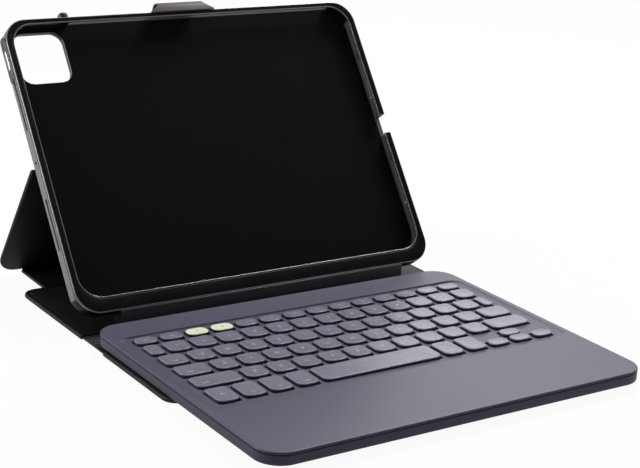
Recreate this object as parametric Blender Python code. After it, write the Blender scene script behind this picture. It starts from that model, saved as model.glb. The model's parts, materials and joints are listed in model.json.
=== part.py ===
"""Keyboard case: a reclined tray on a folding folio, with a detachable keyboard in front.

World frame in metres: +X to the right, +Y to the back, +Z up. The origin is the middle of the base
panel's underside, on the table.
"""

import math

import bmesh
import bpy
from mathutils import Vector

MM = 0.001

# Clearances
GAP = 0.3 * MM              # between pieces that are seated on each other
BUTTON_CLEAR = 0.3 * MM     # round a button in its hole
KEY_CLEAR = 0.35 * MM       # round a key in its hole
ARC_STEPS = 4               # straight steps in a rounded corner
KEY_ARC_STEPS = 3           # the same for a key's small corner

# Folio boards
FOLIO_MARGIN = 0.8 * MM     # from the tray's side out to the side of the folio's boards
BASE_DEPTH = 85.8 * MM
BOARD = 2.8 * MM            # thickness of base panel and front flap
BOARD_CORNER = 9.0 * MM
BOARD_EDGE = 0.8 * MM       # rolled edge of every board
STRIP_DEPTH = 26.0 * MM     # soft fold between base panel and front flap
STRIP_THICK = 0.8 * MM
FLAP_DEPTH = 78.5 * MM
FLAP_HINGE_GAP = 0.9 * MM   # from the fold axis to the flap's edge
SPINE_LENGTH = 37.45 * MM   # from fold axis to fold axis
SPINE_INSET = 16.5 * MM     # from the side of the other boards to the spine's side
SPINE_THICK = 2.0 * MM
BASE_FOLD_GAP = 0.45 * MM   # from the fold axis at the base to the edge of each board
SPINE_FOLD_GAP = 1.9 * MM   # the same at the fold between spine and stand
TRAY_FOLD_GAP = 1.0 * MM    # the same at the tray's back
STAND_LENGTH = 98.25 * MM   # from fold axis to fold axis
STAND_THICK = 2.6 * MM
STAND_CORNER = 13.0 * MM
BACK_PANEL_INSET = 2.2 * MM  # from the tray's side in to the upper back panel
BACK_PANEL_DROP = 1.9 * MM  # from the tray's top edge down to the upper back panel

# Tray
POCKET_WIDTH = 248.2 * MM
POCKET_HEIGHT = 179.1 * MM
POCKET_DEPTH = 6.3 * MM     # free depth under the lip, above the lining
POCKET_CORNER = 15.5 * MM
LIP_COVER = 1.6 * MM        # how far the lip stands in over the pocket
LIP_THICK = 1.5 * MM
TRAY_CORNER = 15.0 * MM
SIDE_WALL = 3.1 * MM
TOP_WALL = 1.8 * MM
CHIN_WALL = 8.1 * MM        # wall at the tray's foot
BACK_WALL = 1.4 * MM
BACK_EDGE = 1.2 * MM        # chamfer of the tray's back edge
LIP_EDGE = 0.5 * MM
LINING_THICK = 0.5 * MM
TRAY_RECLINE = 36.7         # degrees from upright
STAND_HINGE_UP = 86.65 * MM  # fold axis of the stand above the lower edge of the opening
SLOT_WIDTH = 2.1 * MM       # sound slots in the side walls
SLOT_LENGTH = 33.0 * MM
SLOT_UPPER = 125.0 * MM     # middle of the upper slot, above the lower edge of the opening
SLOT_LOWER = 48.5 * MM
SOUND_HOLE = 2.0 * MM
NOTCH_HEIGHT = 13.5 * MM    # plug notch in the right wall
NOTCH_FLOOR = 0.6 * MM      # wall left below the notch, above the pocket's floor
CAMERA_HOLE = 34.0 * MM
CAMERA_CORNER = 8.0 * MM
CAMERA_MARGIN = 4.0 * MM    # from the pocket's side and top to the hole
CAMERA_RING = 2.0 * MM
CAMERA_RING_RISE = 2.2 * MM
FOOT_PLATE_LENGTH = 190.0 * MM
FOOT_PLATE_WIDTH = 4.6 * MM
FOOT_PLATE_THICK = 1.2 * MM

# Channel on the tray's top edge and its strap
CHANNEL_START = 43.1 * MM   # from the pocket's left side to the channel's end stop
CHANNEL_END = 13.1 * MM     # from the channel's open end to the pocket's right side
CHANNEL_BORE = 9.5 * MM     # inner diameter of the strap's arch
CHANNEL_RISE = 1.6 * MM     # middle of the arch above the tray's top edge
END_STOP_LENGTH = 6.0 * MM
END_STOP_RISE = 4.6 * MM
STRAP_THICK = 1.0 * MM
STRAP_TAB_WIDTH = 46.4 * MM
STRAP_WIDTH = 33.0 * MM
STRAP_MIDDLE = -2.6 * MM
STRAP_TAB_DROP = 2.2 * MM   # straight front tab below the arch
STRAP_STEPS = 8

# Button covers on the tray
POWER_BUTTON_UP = 154.5 * MM
POWER_BUTTON_LENGTH = 13.0 * MM
VOLUME_BUTTON_LENGTH = 9.5 * MM
VOLUME_BRIDGE = 1.3 * MM    # wall between the volume buttons and beside the end stop
BUTTON_WIDTH = 2.6 * MM
BUTTON_PROUD = 0.9 * MM

# Keyboard
KEYBOARD_THICK = 7.4 * MM
KEYBOARD_CORNER = 15.0 * MM
KEYBOARD_SETBACK = 9.0 * MM  # from the base panel's front edge to the keyboard's rear edge
DECK_THICK = 0.7 * MM
DECK_EDGE = 0.7 * MM
SKIRT = 1.5 * MM            # height of the top cover's side, down to the seam
COVER_WALL = 1.6 * MM
COVER_FLOOR = 0.9 * MM
BOTTOM_EDGE = 0.5 * MM
WELL_RIM = 4.3 * MM         # deck beside the well
WELL_REAR = 22.0 * MM       # deck behind the well
PALM_DEPTH = 61.6 * MM      # deck in front of the well
WELL_CORNER = 8.0 * MM
FRAME_THICK = 0.8 * MM
FRAME_MARGIN = 2.0 * MM     # how far the key frame runs under the deck

# Keys
KEYS_SIDE_MARGIN = 7.5 * MM  # well floor round the field of keys
KEYS_REAR_MARGIN = 4.9 * MM
KEYS_FRONT_MARGIN = 4.9 * MM
KEY_GAP = 3.2 * MM
KEY_ROW_GAP = 3.2 * MM
KEY_PITCH = 17.0 * MM       # letters and digits
KEY_DEPTH = 13.8 * MM
SHORT_KEY_DEPTH = 9.0 * MM
GRAVE_KEY = 8.6 * MM        # widths of the first keys of the rows, and of the delete key
TAB_KEY = 14.6 * MM
CAPS_KEY = 19.4 * MM
LEFT_SHIFT_KEY = 28.2 * MM
DELETE_KEY = 13.0 * MM
BOTTOM_KEY_DEPTH = 18.0 * MM
ARROW_GAP = 1.2 * MM
KEY_RISE = 1.7 * MM         # key top above the well's floor
KEY_TRAVEL = 1.2 * MM
KEY_REAR_CORNER = 2.6 * MM
KEY_FRONT_CORNER = 4.5 * MM
KEY_CORNER_SHARE = 0.45     # largest front corner as a share of a key's width
KEY_EDGE = 0.6 * MM
KEY_LINK_WIDTH = 7.0 * MM   # bar that joins the keys of a shared row
COLUMNS = 14
DIGITS = 12

# Inside the keyboard
SHEET_THICK = 0.3 * MM
PLATE_THICK = 0.4 * MM
BATTERY_WIDTH = 108.0 * MM
BATTERY_DEPTH = 40.0 * MM
BATTERY_THICK = 3.4 * MM
BATTERY_X = -48.0 * MM
BOARD_WIDTH = 92.0 * MM
BOARD_DEPTH = 26.0 * MM
CIRCUIT_THICK = 1.0 * MM
INNER_FRONT = 31.0 * MM     # middle of battery and circuit board behind the keyboard's front edge
PORT_WIDTH = 9.0 * MM
PORT_HEIGHT = 3.0 * MM
PORT_DEPTH = 7.4 * MM
PORT_WALL = 0.35 * MM
PORT_FLOOR = 0.8 * MM
MAGNET_LENGTH = 60.0 * MM
MAGNET_DEPTH = 6.0 * MM
MAGNET_THICK = 2.4 * MM
MAGNET_END_GAP = 2.0 * MM   # from the dock bar's end wall to a magnet
FOOT_LENGTH = 44.0 * MM
FOOT_DEPTH = 7.0 * MM
FOOT_X = 84.0 * MM
FOOT_FRONT = 12.0 * MM
FOOT_CORNER = 2.4 * MM

# Dock bar behind the keyboard
DOCK_INSET = 24.3 * MM      # from the keyboard's side to the bar's end
DOCK_GAP = 9.8 * MM
DOCK_TOP_DEPTH = 0.83 * MM  # flat along the bar's front, as far as the seat
DOCK_RISE = 3.33 * MM       # top of the bar above the keyboard's deck
DOCK_SEAT = 10.6 * MM       # length of the sloping seat
DOCK_EDGE = 0.5 * MM
DOCK_WALL = 1.6 * MM
DOCK_MAGNET_THICK = 2.6 * MM
SEAT_GAP = 0.35 * MM        # between the seat and the tray's foot
FOOT_INSET = 0.5 * MM       # the tray's front face behind the seat's front edge

# Places that follow from the sizes
BASE_REAR = BASE_DEPTH / 2
BASE_FRONT = -BASE_DEPTH / 2
FLAP_AXIS_Y = BASE_FRONT - STRIP_DEPTH
MID_BOARD = BOARD / 2
KEYS_WIDTH = GRAVE_KEY + KEY_GAP + DIGITS * KEY_PITCH + DELETE_KEY
KEYS_DEPTH = SHORT_KEY_DEPTH + KEY_ROW_GAP + 4 * (KEY_DEPTH + KEY_ROW_GAP) + BOTTOM_KEY_DEPTH
WELL_HALF_WIDTH = KEYS_WIDTH / 2 + KEYS_SIDE_MARGIN
WELL_DEPTH = KEYS_REAR_MARGIN + KEYS_DEPTH + KEYS_FRONT_MARGIN
KEYS_LEFT = -KEYS_WIDTH / 2
KEYS_RIGHT = KEYS_WIDTH / 2
KEYBOARD_WIDTH = 2 * (WELL_HALF_WIDTH + WELL_RIM)
KEYBOARD_DEPTH = WELL_REAR + WELL_DEPTH + PALM_DEPTH
KEYBOARD_REAR = BASE_FRONT - KEYBOARD_SETBACK
KEYBOARD_FRONT = KEYBOARD_REAR - KEYBOARD_DEPTH
KEYBOARD_BOTTOM = BOARD + GAP
DECK_TOP = KEYBOARD_BOTTOM + KEYBOARD_THICK
DECK_UNDER = DECK_TOP - DECK_THICK
SEAM = DECK_TOP - SKIRT
FLOOR_TOP = KEYBOARD_BOTTOM + COVER_FLOOR
FRAME_TOP = DECK_UNDER - GAP
FRAME_UNDER = FRAME_TOP - FRAME_THICK
KEY_TOP = FRAME_TOP + KEY_RISE
PLATE_TOP = FLOOR_TOP + GAP + PLATE_THICK
SHEET_TOP = PLATE_TOP + GAP + SHEET_THICK
KEY_BOTTOM = SHEET_TOP + GAP + KEY_TRAVEL
KEY_LINK_TOP = (KEY_BOTTOM + FRAME_UNDER) / 2
DOCK_LENGTH = KEYBOARD_WIDTH - 2 * DOCK_INSET
DOCK_FRONT = KEYBOARD_REAR + DOCK_GAP
DOCK_TOP = DECK_TOP + DOCK_RISE
DOCK_FOOT = FLOOR_TOP + GAP

RECLINE = math.radians(TRAY_RECLINE)
TRAY_UP = Vector((0, math.sin(RECLINE), math.cos(RECLINE)))
TRAY_OUT = Vector((0, -math.cos(RECLINE), math.sin(RECLINE)))
OPENING_WIDTH = POCKET_WIDTH - 2 * LIP_COVER
OPENING_HEIGHT = POCKET_HEIGHT - 2 * LIP_COVER
POCKET_TOP = OPENING_HEIGHT + LIP_COVER
CHANNEL_LEFT = -POCKET_WIDTH / 2 + CHANNEL_START
CHANNEL_RIGHT = POCKET_WIDTH / 2 - CHANNEL_END
TRAY_SIDE = POCKET_WIDTH / 2 + SIDE_WALL
FOLIO_WIDTH = 2 * (TRAY_SIDE + FOLIO_MARGIN)
TRAY_TOP = POCKET_TOP + TOP_WALL
TRAY_FOOT = -LIP_COVER - CHIN_WALL
SHELL_TOP = -LIP_THICK - GAP
LINING_TOP = -LIP_THICK - POCKET_DEPTH
POCKET_FLOOR = LINING_TOP - LINING_THICK - GAP
TRAY_BACK = POCKET_FLOOR - BACK_WALL
STAND_HINGE_BACK = TRAY_BACK - GAP - STAND_THICK / 2

SEAT_START = Vector((0, DOCK_FRONT + DOCK_TOP_DEPTH, DOCK_TOP))
TRAY_ORIGIN = SEAT_START + TRAY_UP * (SEAT_GAP - TRAY_FOOT) - TRAY_OUT * FOOT_INSET
STAND_AXIS = TRAY_ORIGIN + TRAY_UP * STAND_HINGE_UP + TRAY_OUT * STAND_HINGE_BACK
BASE_AXIS = Vector((0, BASE_REAR, MID_BOARD))


def spine_axis_place():
    """Fold axis between spine and stand: where their two lengths meet, behind the base panel."""
    across = STAND_AXIS - BASE_AXIS
    span = across.length
    along = (SPINE_LENGTH ** 2 - STAND_LENGTH ** 2 + span ** 2) / (2 * span)
    aside = math.sqrt(SPINE_LENGTH ** 2 - along ** 2)
    direction = across.normalized()
    backward = Vector((0, direction.z, -direction.y))
    return BASE_AXIS + direction * along + backward * aside


SPINE_AXIS = spine_axis_place()


def clear_scene():
    for item in list(bpy.data.objects):
        bpy.data.objects.remove(item, do_unlink=True)


def material(name, colour, roughness, metallic=0.0):
    """A Principled BSDF material, made once for each name."""
    made = bpy.data.materials.get(name)
    if made:
        return made
    made = bpy.data.materials.new(name)
    made.use_nodes = True
    shader = made.node_tree.nodes["Principled BSDF"]
    shader.inputs["Base Color"].default_value = (*colour, 1.0)
    shader.inputs["Roughness"].default_value = roughness
    shader.inputs["Metallic"].default_value = metallic
    return made


def folio_skin():
    return material("folio skin", (0.012, 0.011, 0.015), 0.55)


def tray_plastic():
    return material("tray plastic", (0.045, 0.043, 0.048), 0.38)


def bumper_rubber():
    return material("bumper rubber", (0.022, 0.020, 0.022), 0.45)


def lining_cloth():
    return material("lining cloth", (0.030, 0.030, 0.034), 0.95)


def deck_plastic():
    return material("deck plastic", (0.155, 0.155, 0.180), 0.48)


def shell_plastic():
    return material("shell plastic", (0.026, 0.025, 0.036), 0.45)


def key_plastic():
    return material("key plastic", (0.165, 0.165, 0.190), 0.42)


def pairing_plastic():
    return material("pairing key plastic", (0.640, 0.720, 0.500), 0.45)


def steel():
    return material("steel", (0.550, 0.560, 0.580), 0.35, 1.0)


def magnet_metal():
    return material("magnet metal", (0.400, 0.400, 0.420), 0.30, 1.0)


def foot_rubber():
    return material("foot rubber", (0.020, 0.020, 0.022), 0.80)


def circuit_laminate():
    return material("circuit laminate", (0.020, 0.120, 0.060), 0.50)


def battery_foil():
    return material("battery foil", (0.320, 0.330, 0.350), 0.40)


def empty(name, place, turn_x=0.0, parent=None):
    """A joint axis along X that carries the pieces of a moving body."""
    made = bpy.data.objects.new(name, None)
    bpy.context.collection.objects.link(made)
    made.location = place
    made.rotation_euler = (turn_x, 0, 0)
    made.parent = parent
    return made


def finish(mesh, name, look, parent, place):
    """Turn a bmesh into an object with its normals out, its material and its place."""
    bmesh.ops.recalc_face_normals(mesh, faces=mesh.faces)
    data = bpy.data.meshes.new(name)
    mesh.to_mesh(data)
    mesh.free()
    made = bpy.data.objects.new(name, data)
    bpy.context.collection.objects.link(made)
    if look:
        data.materials.append(look)
    made.parent = parent
    made.location = place
    return made


def rounded_outline(low, high, front_corner, rear_corner=None, steps=ARC_STEPS):
    """Outline of a rectangle with rounded corners, anticlockwise from the front right."""
    rear_corner = front_corner if rear_corner is None else rear_corner
    corners = (
        (high[0] - front_corner, low[1] + front_corner, front_corner, -90),
        (high[0] - rear_corner, high[1] - rear_corner, rear_corner, 0),
        (low[0] + rear_corner, high[1] - rear_corner, rear_corner, 90),
        (low[0] + front_corner, low[1] + front_corner, front_corner, 180),
    )
    points = []
    for x, y, radius, start in corners:
        for step in range(steps + 1):
            angle = math.radians(start + 90 * step / steps)
            points.append((x + radius * math.cos(angle), y + radius * math.sin(angle)))
    return points


def add_prism(mesh, outline, bottom, top, top_edge=0.0, bottom_edge=0.0):
    """Extrude an outline from bottom to top and chamfer its two rims."""
    face = mesh.faces.new([mesh.verts.new((x, y, bottom)) for x, y in outline])
    grown = bmesh.ops.extrude_face_region(mesh, geom=[face])["geom"]
    lifted = [item for item in grown if isinstance(item, bmesh.types.BMVert)]
    bmesh.ops.translate(mesh, verts=lifted, vec=(0, 0, top - bottom))
    upper = {item for item in grown if isinstance(item, bmesh.types.BMEdge)}
    lower = set(face.edges)
    for rim, width in ((upper, top_edge), (lower, bottom_edge)):
        if width:
            bmesh.ops.bevel(mesh, geom=list(rim), offset=width, segments=1, affect="EDGES")


def prism(name, outline, bottom, top, look=None, parent=None, place=(0, 0, 0), **edges):
    mesh = bmesh.new()
    add_prism(mesh, outline, bottom, top, **edges)
    return finish(mesh, name, look, parent, place)


def box(name, low, high, look=None, parent=None, place=(0, 0, 0)):
    outline = [(low[0], low[1]), (high[0], low[1]), (high[0], high[1]), (low[0], high[1])]
    return prism(name, outline, low[2], high[2], look, parent, place)


def profile_bar(name, profile, left, right, look=None, parent=None, place=(0, 0, 0)):
    """A bar along X from a profile of (y, z) points."""
    mesh = bmesh.new()
    face = mesh.faces.new([mesh.verts.new((left, y, z)) for y, z in profile])
    grown = bmesh.ops.extrude_face_region(mesh, geom=[face])["geom"]
    moved = [item for item in grown if isinstance(item, bmesh.types.BMVert)]
    bmesh.ops.translate(mesh, verts=moved, vec=(right - left, 0, 0))
    return finish(mesh, name, look, parent, place)


def as_tool(item):
    """A cutter or a part of a union: drawn as wire and left out of the model."""
    item.hide_render = True
    item.display_type = "WIRE"
    return item


def combine(body, tool, operation):
    step = body.modifiers.new(operation.lower() + " " + tool.name, "BOOLEAN")
    step.operation = operation
    step.solver = "EXACT"
    step.object = as_tool(tool)
    return body


def cut(body, tool):
    return combine(body, tool, "DIFFERENCE")


def join(body, tool):
    return combine(body, tool, "UNION")


def build_folio():
    """Base panel, fold strip, front flap, spine and stand; returns the axis that carries the tray."""
    half = FOLIO_WIDTH / 2
    base = rounded_outline((-half, BASE_FRONT + GAP), (half, BASE_REAR - BASE_FOLD_GAP),
                           BOARD_EDGE, BOARD_CORNER)
    prism("base_panel", base, 0, BOARD, folio_skin(), top_edge=BOARD_EDGE, bottom_edge=BOARD_EDGE)

    strip_low = MID_BOARD - STRIP_THICK / 2
    box("flap_hinge_strip", (-half + BOARD_EDGE, FLAP_AXIS_Y, strip_low),
        (half - BOARD_EDGE, BASE_FRONT, strip_low + STRIP_THICK), folio_skin())

    flap_axis = empty("flap_axis", (0, FLAP_AXIS_Y, MID_BOARD))
    flap = rounded_outline((-half, -FLAP_HINGE_GAP - FLAP_DEPTH), (half, -FLAP_HINGE_GAP),
                           BOARD_CORNER, BOARD_EDGE)
    prism("front_flap", flap, -MID_BOARD, BOARD - MID_BOARD, folio_skin(), flap_axis,
          top_edge=BOARD_EDGE, bottom_edge=BOARD_EDGE)

    rise = SPINE_AXIS - BASE_AXIS
    base_axis = empty("base_axis", BASE_AXIS, math.atan2(rise.z, rise.y))
    spine_half = half - SPINE_INSET
    spine = rounded_outline((-spine_half, BASE_FOLD_GAP), (spine_half, SPINE_LENGTH - SPINE_FOLD_GAP),
                            BOARD_EDGE)
    prism("spine_panel", spine, -SPINE_THICK / 2, SPINE_THICK / 2, folio_skin(), base_axis)

    lean = STAND_AXIS - SPINE_AXIS
    spine_axis = empty("spine_axis", SPINE_AXIS, math.atan2(lean.z, lean.y))
    stand = rounded_outline((-half, SPINE_FOLD_GAP), (half, STAND_LENGTH - TRAY_FOLD_GAP),
                            STAND_CORNER, BOARD_EDGE)
    prism("stand_panel", stand, -STAND_THICK / 2, STAND_THICK / 2, folio_skin(), spine_axis,
          top_edge=BOARD_EDGE, bottom_edge=BOARD_EDGE)
    return empty("stand_axis", STAND_AXIS, math.pi / 2 - RECLINE)


def camera_outline(grow):
    """The camera hole, seen from the front, in the tray's upper left corner."""
    left = -POCKET_WIDTH / 2 + CAMERA_MARGIN
    top = POCKET_TOP - CAMERA_MARGIN
    low = (left - grow, top - CAMERA_HOLE - grow)
    return rounded_outline(low, (left + CAMERA_HOLE + grow, top + grow), CAMERA_CORNER + grow)


def slot_tool(name, x, middle, length, tray):
    """A sound slot through a side wall, half way down the pocket."""
    depth = -LIP_THICK - POCKET_DEPTH / 2
    low = (x - SIDE_WALL, middle - length / 2, depth - SLOT_WIDTH / 2)
    return box(name, low, (x + SIDE_WALL, middle + length / 2, depth + SLOT_WIDTH / 2), **tray)


def build_tray(axis):
    """The tray's pieces are drawn lying flat: Y up the tray, Z out of its front."""
    tray = {"parent": axis, "place": (0, -STAND_HINGE_UP, -STAND_HINGE_BACK)}
    outer = rounded_outline((-TRAY_SIDE, TRAY_FOOT), (TRAY_SIDE, TRAY_TOP), TRAY_CORNER)
    pocket = rounded_outline((-POCKET_WIDTH / 2, -LIP_COVER), (POCKET_WIDTH / 2, POCKET_TOP),
                             POCKET_CORNER)
    opening = rounded_outline((-OPENING_WIDTH / 2, 0), (OPENING_WIDTH / 2, OPENING_HEIGHT),
                              POCKET_CORNER - LIP_COVER)
    shell = prism("tray_shell", outer, TRAY_BACK, SHELL_TOP, tray_plastic(), bottom_edge=BACK_EDGE, **tray)
    cut(shell, prism("pocket_tool", pocket, POCKET_FLOOR, LIP_THICK, **tray))
    camera_tool = prism("camera_tool", camera_outline(0), 2 * TRAY_BACK, 0, **tray)
    cut(shell, camera_tool)

    bumper = prism("tray_bumper", outer, -LIP_THICK, 0, bumper_rubber(), top_edge=LIP_EDGE, **tray)
    cut(bumper, prism("opening_tool", opening, -2 * LIP_THICK, LIP_THICK, **tray))

    for side in (-1, 1):
        wall = side * (POCKET_WIDTH / 2 + SIDE_WALL / 2)
        for middle in (SLOT_UPPER, SLOT_LOWER):
            cut(shell, slot_tool("slot_tool", wall, middle, SLOT_LENGTH, tray))
    middle = OPENING_HEIGHT / 2
    cut(shell, slot_tool("sound_hole_tool", -POCKET_WIDTH / 2 - SIDE_WALL / 2, middle, SOUND_HOLE, tray))
    notch_low = (OPENING_WIDTH / 2 - LIP_COVER, middle - NOTCH_HEIGHT / 2, POCKET_FLOOR + NOTCH_FLOOR)
    notch_high = (TRAY_SIDE + SIDE_WALL, middle + NOTCH_HEIGHT / 2, LIP_THICK)
    notch = box("notch_tool", notch_low, notch_high, **tray)
    cut(shell, notch)
    cut(bumper, notch)

    channel_low = (CHANNEL_LEFT, OPENING_HEIGHT, LINING_TOP)
    cut(shell, box("channel_tool", channel_low, (CHANNEL_RIGHT, TRAY_TOP + TOP_WALL, LIP_THICK), **tray))
    stop = box("end_stop_tool", (CHANNEL_LEFT - END_STOP_LENGTH, TRAY_TOP - TOP_WALL / 2, LINING_TOP),
               (CHANNEL_LEFT, TRAY_TOP + END_STOP_RISE, SHELL_TOP - GAP), **tray)
    join(shell, stop)

    lining_clear = 2 * GAP
    lining_half = POCKET_WIDTH / 2 - lining_clear
    lining = rounded_outline((-lining_half, -LIP_COVER + lining_clear),
                             (lining_half, POCKET_TOP - lining_clear), POCKET_CORNER - lining_clear)
    sheet = prism("tray_lining", lining, LINING_TOP - LINING_THICK, LINING_TOP, lining_cloth(), **tray)
    cut(sheet, camera_tool)

    panel_half = TRAY_SIDE - BACK_PANEL_INSET
    panel_low = STAND_HINGE_UP + TRAY_FOLD_GAP
    panel_back = STAND_HINGE_BACK - STAND_THICK / 2
    outline = rounded_outline((-panel_half, panel_low), (panel_half, TRAY_TOP - BACK_PANEL_DROP), BOARD_EDGE,
                              TRAY_CORNER)
    panel_front = TRAY_BACK - GAP
    panel = prism("upper_back_panel", outline, panel_back, panel_front, folio_skin(),
                  bottom_edge=BOARD_EDGE, **tray)
    ring_back = panel_front - CAMERA_RING_RISE
    cut(panel, prism("panel_hole_tool", camera_outline(CAMERA_RING + GAP), 2 * panel_back, 0, **tray))
    ring_outline = camera_outline(CAMERA_RING)
    ring = prism("camera_surround", ring_outline, ring_back, panel_front, tray_plastic(), **tray)
    cut(ring, prism("ring_hole_tool", camera_outline(0), 2 * panel_back, 0, **tray))

    plate_middle = (SHELL_TOP + TRAY_BACK) / 2
    plate_half = FOOT_PLATE_LENGTH / 2
    plate_low = (-plate_half, TRAY_FOOT, plate_middle - FOOT_PLATE_WIDTH / 2)
    plate_high = (plate_half, TRAY_FOOT + FOOT_PLATE_THICK, plate_middle + FOOT_PLATE_WIDTH / 2)
    box("foot_plate", plate_low, plate_high, steel(), **tray)
    room_low = (plate_low[0] - GAP, plate_low[1] - GAP, plate_low[2] - GAP)
    room_high = (plate_high[0] + GAP, plate_high[1] + GAP, plate_high[2] + GAP)
    cut(shell, box("foot_plate_tool", room_low, room_high, **tray))

    build_strap(axis)
    build_buttons(axis, shell, tray)


def build_strap(axis):
    """Strap over the channel: a tab in front of the lip, an arch, and its fold at the tray's back edge."""
    inner = CHANNEL_BORE / 2
    middle_up = TRAY_TOP + CHANNEL_RISE
    middle_out = GAP - inner
    fold_up = TRAY_TOP + 2 * GAP
    fold_out = middle_out - inner - STRAP_THICK / 2
    sections = [(inner, -STRAP_TAB_DROP, STRAP_TAB_WIDTH / 2)]
    for step in range(STRAP_STEPS + 1):
        angle = math.pi * step / STRAP_STEPS
        share = min(1.0, 2 * step / STRAP_STEPS)
        half = (STRAP_TAB_WIDTH + (STRAP_WIDTH - STRAP_TAB_WIDTH) * share) / 2
        sections.append((angle, None, half))
    sections.append((-inner - STRAP_THICK, fold_up - middle_up, STRAP_WIDTH / 2))

    mesh = bmesh.new()
    rings = []
    for first, second, half in sections:
        if second is None:
            near = (inner * math.cos(first), inner * math.sin(first))
            far = ((inner + STRAP_THICK) * math.cos(first), (inner + STRAP_THICK) * math.sin(first))
        else:
            near = (math.copysign(inner, first), second)
            far = (math.copysign(inner + STRAP_THICK, first), second)
        ring = []
        for side, spot in ((-1, near), (1, near), (1, far), (-1, far)):
            out = middle_out + spot[0] - fold_out
            up = middle_up + spot[1] - fold_up
            ring.append(mesh.verts.new((STRAP_MIDDLE + side * half, up, out)))
        rings.append(ring)
    for before, after in zip(rings, rings[1:]):
        for corner in range(4):
            ahead = (corner + 1) % 4
            mesh.faces.new((before[corner], before[ahead], after[ahead], after[corner]))
    mesh.faces.new(rings[0])
    mesh.faces.new(rings[-1])
    place = (0, fold_up - STAND_HINGE_UP, fold_out - STAND_HINGE_BACK)
    finish(mesh, "channel_strap", bumper_rubber(), axis, place)


def build_buttons(axis, shell, tray):
    """Button covers that slide in their wall: power on the left, volume on top."""
    depth = -LIP_THICK - POCKET_DEPTH / 2
    inside = GAP
    top_wall = POCKET_TOP
    down_x = CHANNEL_LEFT - END_STOP_LENGTH - VOLUME_BRIDGE - VOLUME_BUTTON_LENGTH / 2
    up_x = down_x - VOLUME_BUTTON_LENGTH - VOLUME_BRIDGE
    buttons = (
        ("power_button", (-1, 0), (-POCKET_WIDTH / 2, POWER_BUTTON_UP), POWER_BUTTON_LENGTH, SIDE_WALL),
        ("volume_up_button", (0, 1), (up_x, top_wall), VOLUME_BUTTON_LENGTH, TOP_WALL),
        ("volume_down_button", (0, 1), (down_x, top_wall), VOLUME_BUTTON_LENGTH, TOP_WALL),
    )
    for name, out, spot, length, wall in buttons:
        for label, clear in ((name, 0.0), (name + "_tool", BUTTON_CLEAR)):
            half = length / 2 + clear
            thick = BUTTON_WIDTH / 2 + clear
            reach = wall + BUTTON_PROUD + clear
            start = -wall if clear else inside
            if out[0]:
                low = (-reach, -half, -thick)
                high = (-start, half, thick)
            else:
                low = (-half, start, -thick)
                high = (half, reach, thick)
            place = (spot[0], spot[1] - STAND_HINGE_UP, depth - STAND_HINGE_BACK)
            look = None if clear else bumper_rubber()
            made = box(label, low, high, look, axis, place)
            if clear:
                cut(shell, made)


def build_keyboard_covers():
    half = KEYBOARD_WIDTH / 2
    inner = half - COVER_WALL
    outline = rounded_outline((-half, KEYBOARD_FRONT), (half, KEYBOARD_REAR), KEYBOARD_CORNER)
    cavity = rounded_outline((-inner, KEYBOARD_FRONT + COVER_WALL), (inner, KEYBOARD_REAR - COVER_WALL),
                             KEYBOARD_CORNER - COVER_WALL)
    well_rear = KEYBOARD_REAR - WELL_REAR
    well = rounded_outline((-WELL_HALF_WIDTH, well_rear - WELL_DEPTH), (WELL_HALF_WIDTH, well_rear), WELL_CORNER)

    top = prism("keyboard_top_cover", outline, SEAM, DECK_TOP, deck_plastic(), top_edge=DECK_EDGE)
    cut(top, prism("top_cavity_tool", cavity, SEAM - SKIRT, DECK_UNDER))
    cut(top, prism("well_tool", well, SEAM, DECK_TOP + DECK_THICK))

    bottom = prism("keyboard_bottom_cover", outline, KEYBOARD_BOTTOM, SEAM - GAP, shell_plastic(),
                   bottom_edge=BOTTOM_EDGE)
    dock_depth = DOCK_TOP_DEPTH + DOCK_SEAT * math.cos(RECLINE)
    ledge_low = (-DOCK_LENGTH / 2, KEYBOARD_REAR - COVER_WALL / 2, KEYBOARD_BOTTOM)
    join(bottom, box("ledge_tool", ledge_low, (DOCK_LENGTH / 2, DOCK_FRONT + dock_depth, FLOOR_TOP)))
    cut(bottom, prism("bottom_cavity_tool", cavity, FLOOR_TOP, DECK_TOP))

    port_y = KEYBOARD_FRONT + INNER_FRONT
    port_low = FLOOR_TOP + PORT_FLOOR
    outer_end = half - GAP
    port = box("charge_port", (outer_end - PORT_DEPTH, port_y - PORT_WIDTH / 2, port_low),
               (outer_end, port_y + PORT_WIDTH / 2, port_low + PORT_HEIGHT), steel())
    mouth_half = PORT_WIDTH / 2 - PORT_WALL
    mouth_low = (outer_end - PORT_DEPTH + PORT_FLOOR, port_y - mouth_half, port_low + PORT_WALL)
    mouth_high = (half + PORT_DEPTH, port_y + mouth_half, port_low + PORT_HEIGHT - PORT_WALL)
    cut(port, box("port_mouth_tool", mouth_low, mouth_high))
    port_room = box("port_room_tool", (inner - PORT_WALL, port_y - PORT_WIDTH / 2 - GAP, port_low - GAP),
                    (half + PORT_DEPTH, port_y + PORT_WIDTH / 2 + GAP, port_low + PORT_HEIGHT + GAP))
    cut(bottom, port_room)

    for name, side in (("front_foot_left", -1), ("front_foot_right", 1)):
        middle_y = KEYBOARD_FRONT + FOOT_FRONT
        outline = rounded_outline((side * FOOT_X - FOOT_LENGTH / 2, middle_y - FOOT_DEPTH / 2),
                                  (side * FOOT_X + FOOT_LENGTH / 2, middle_y + FOOT_DEPTH / 2), FOOT_CORNER)
        prism(name, outline, 0, KEYBOARD_BOTTOM - GAP, foot_rubber())


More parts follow.
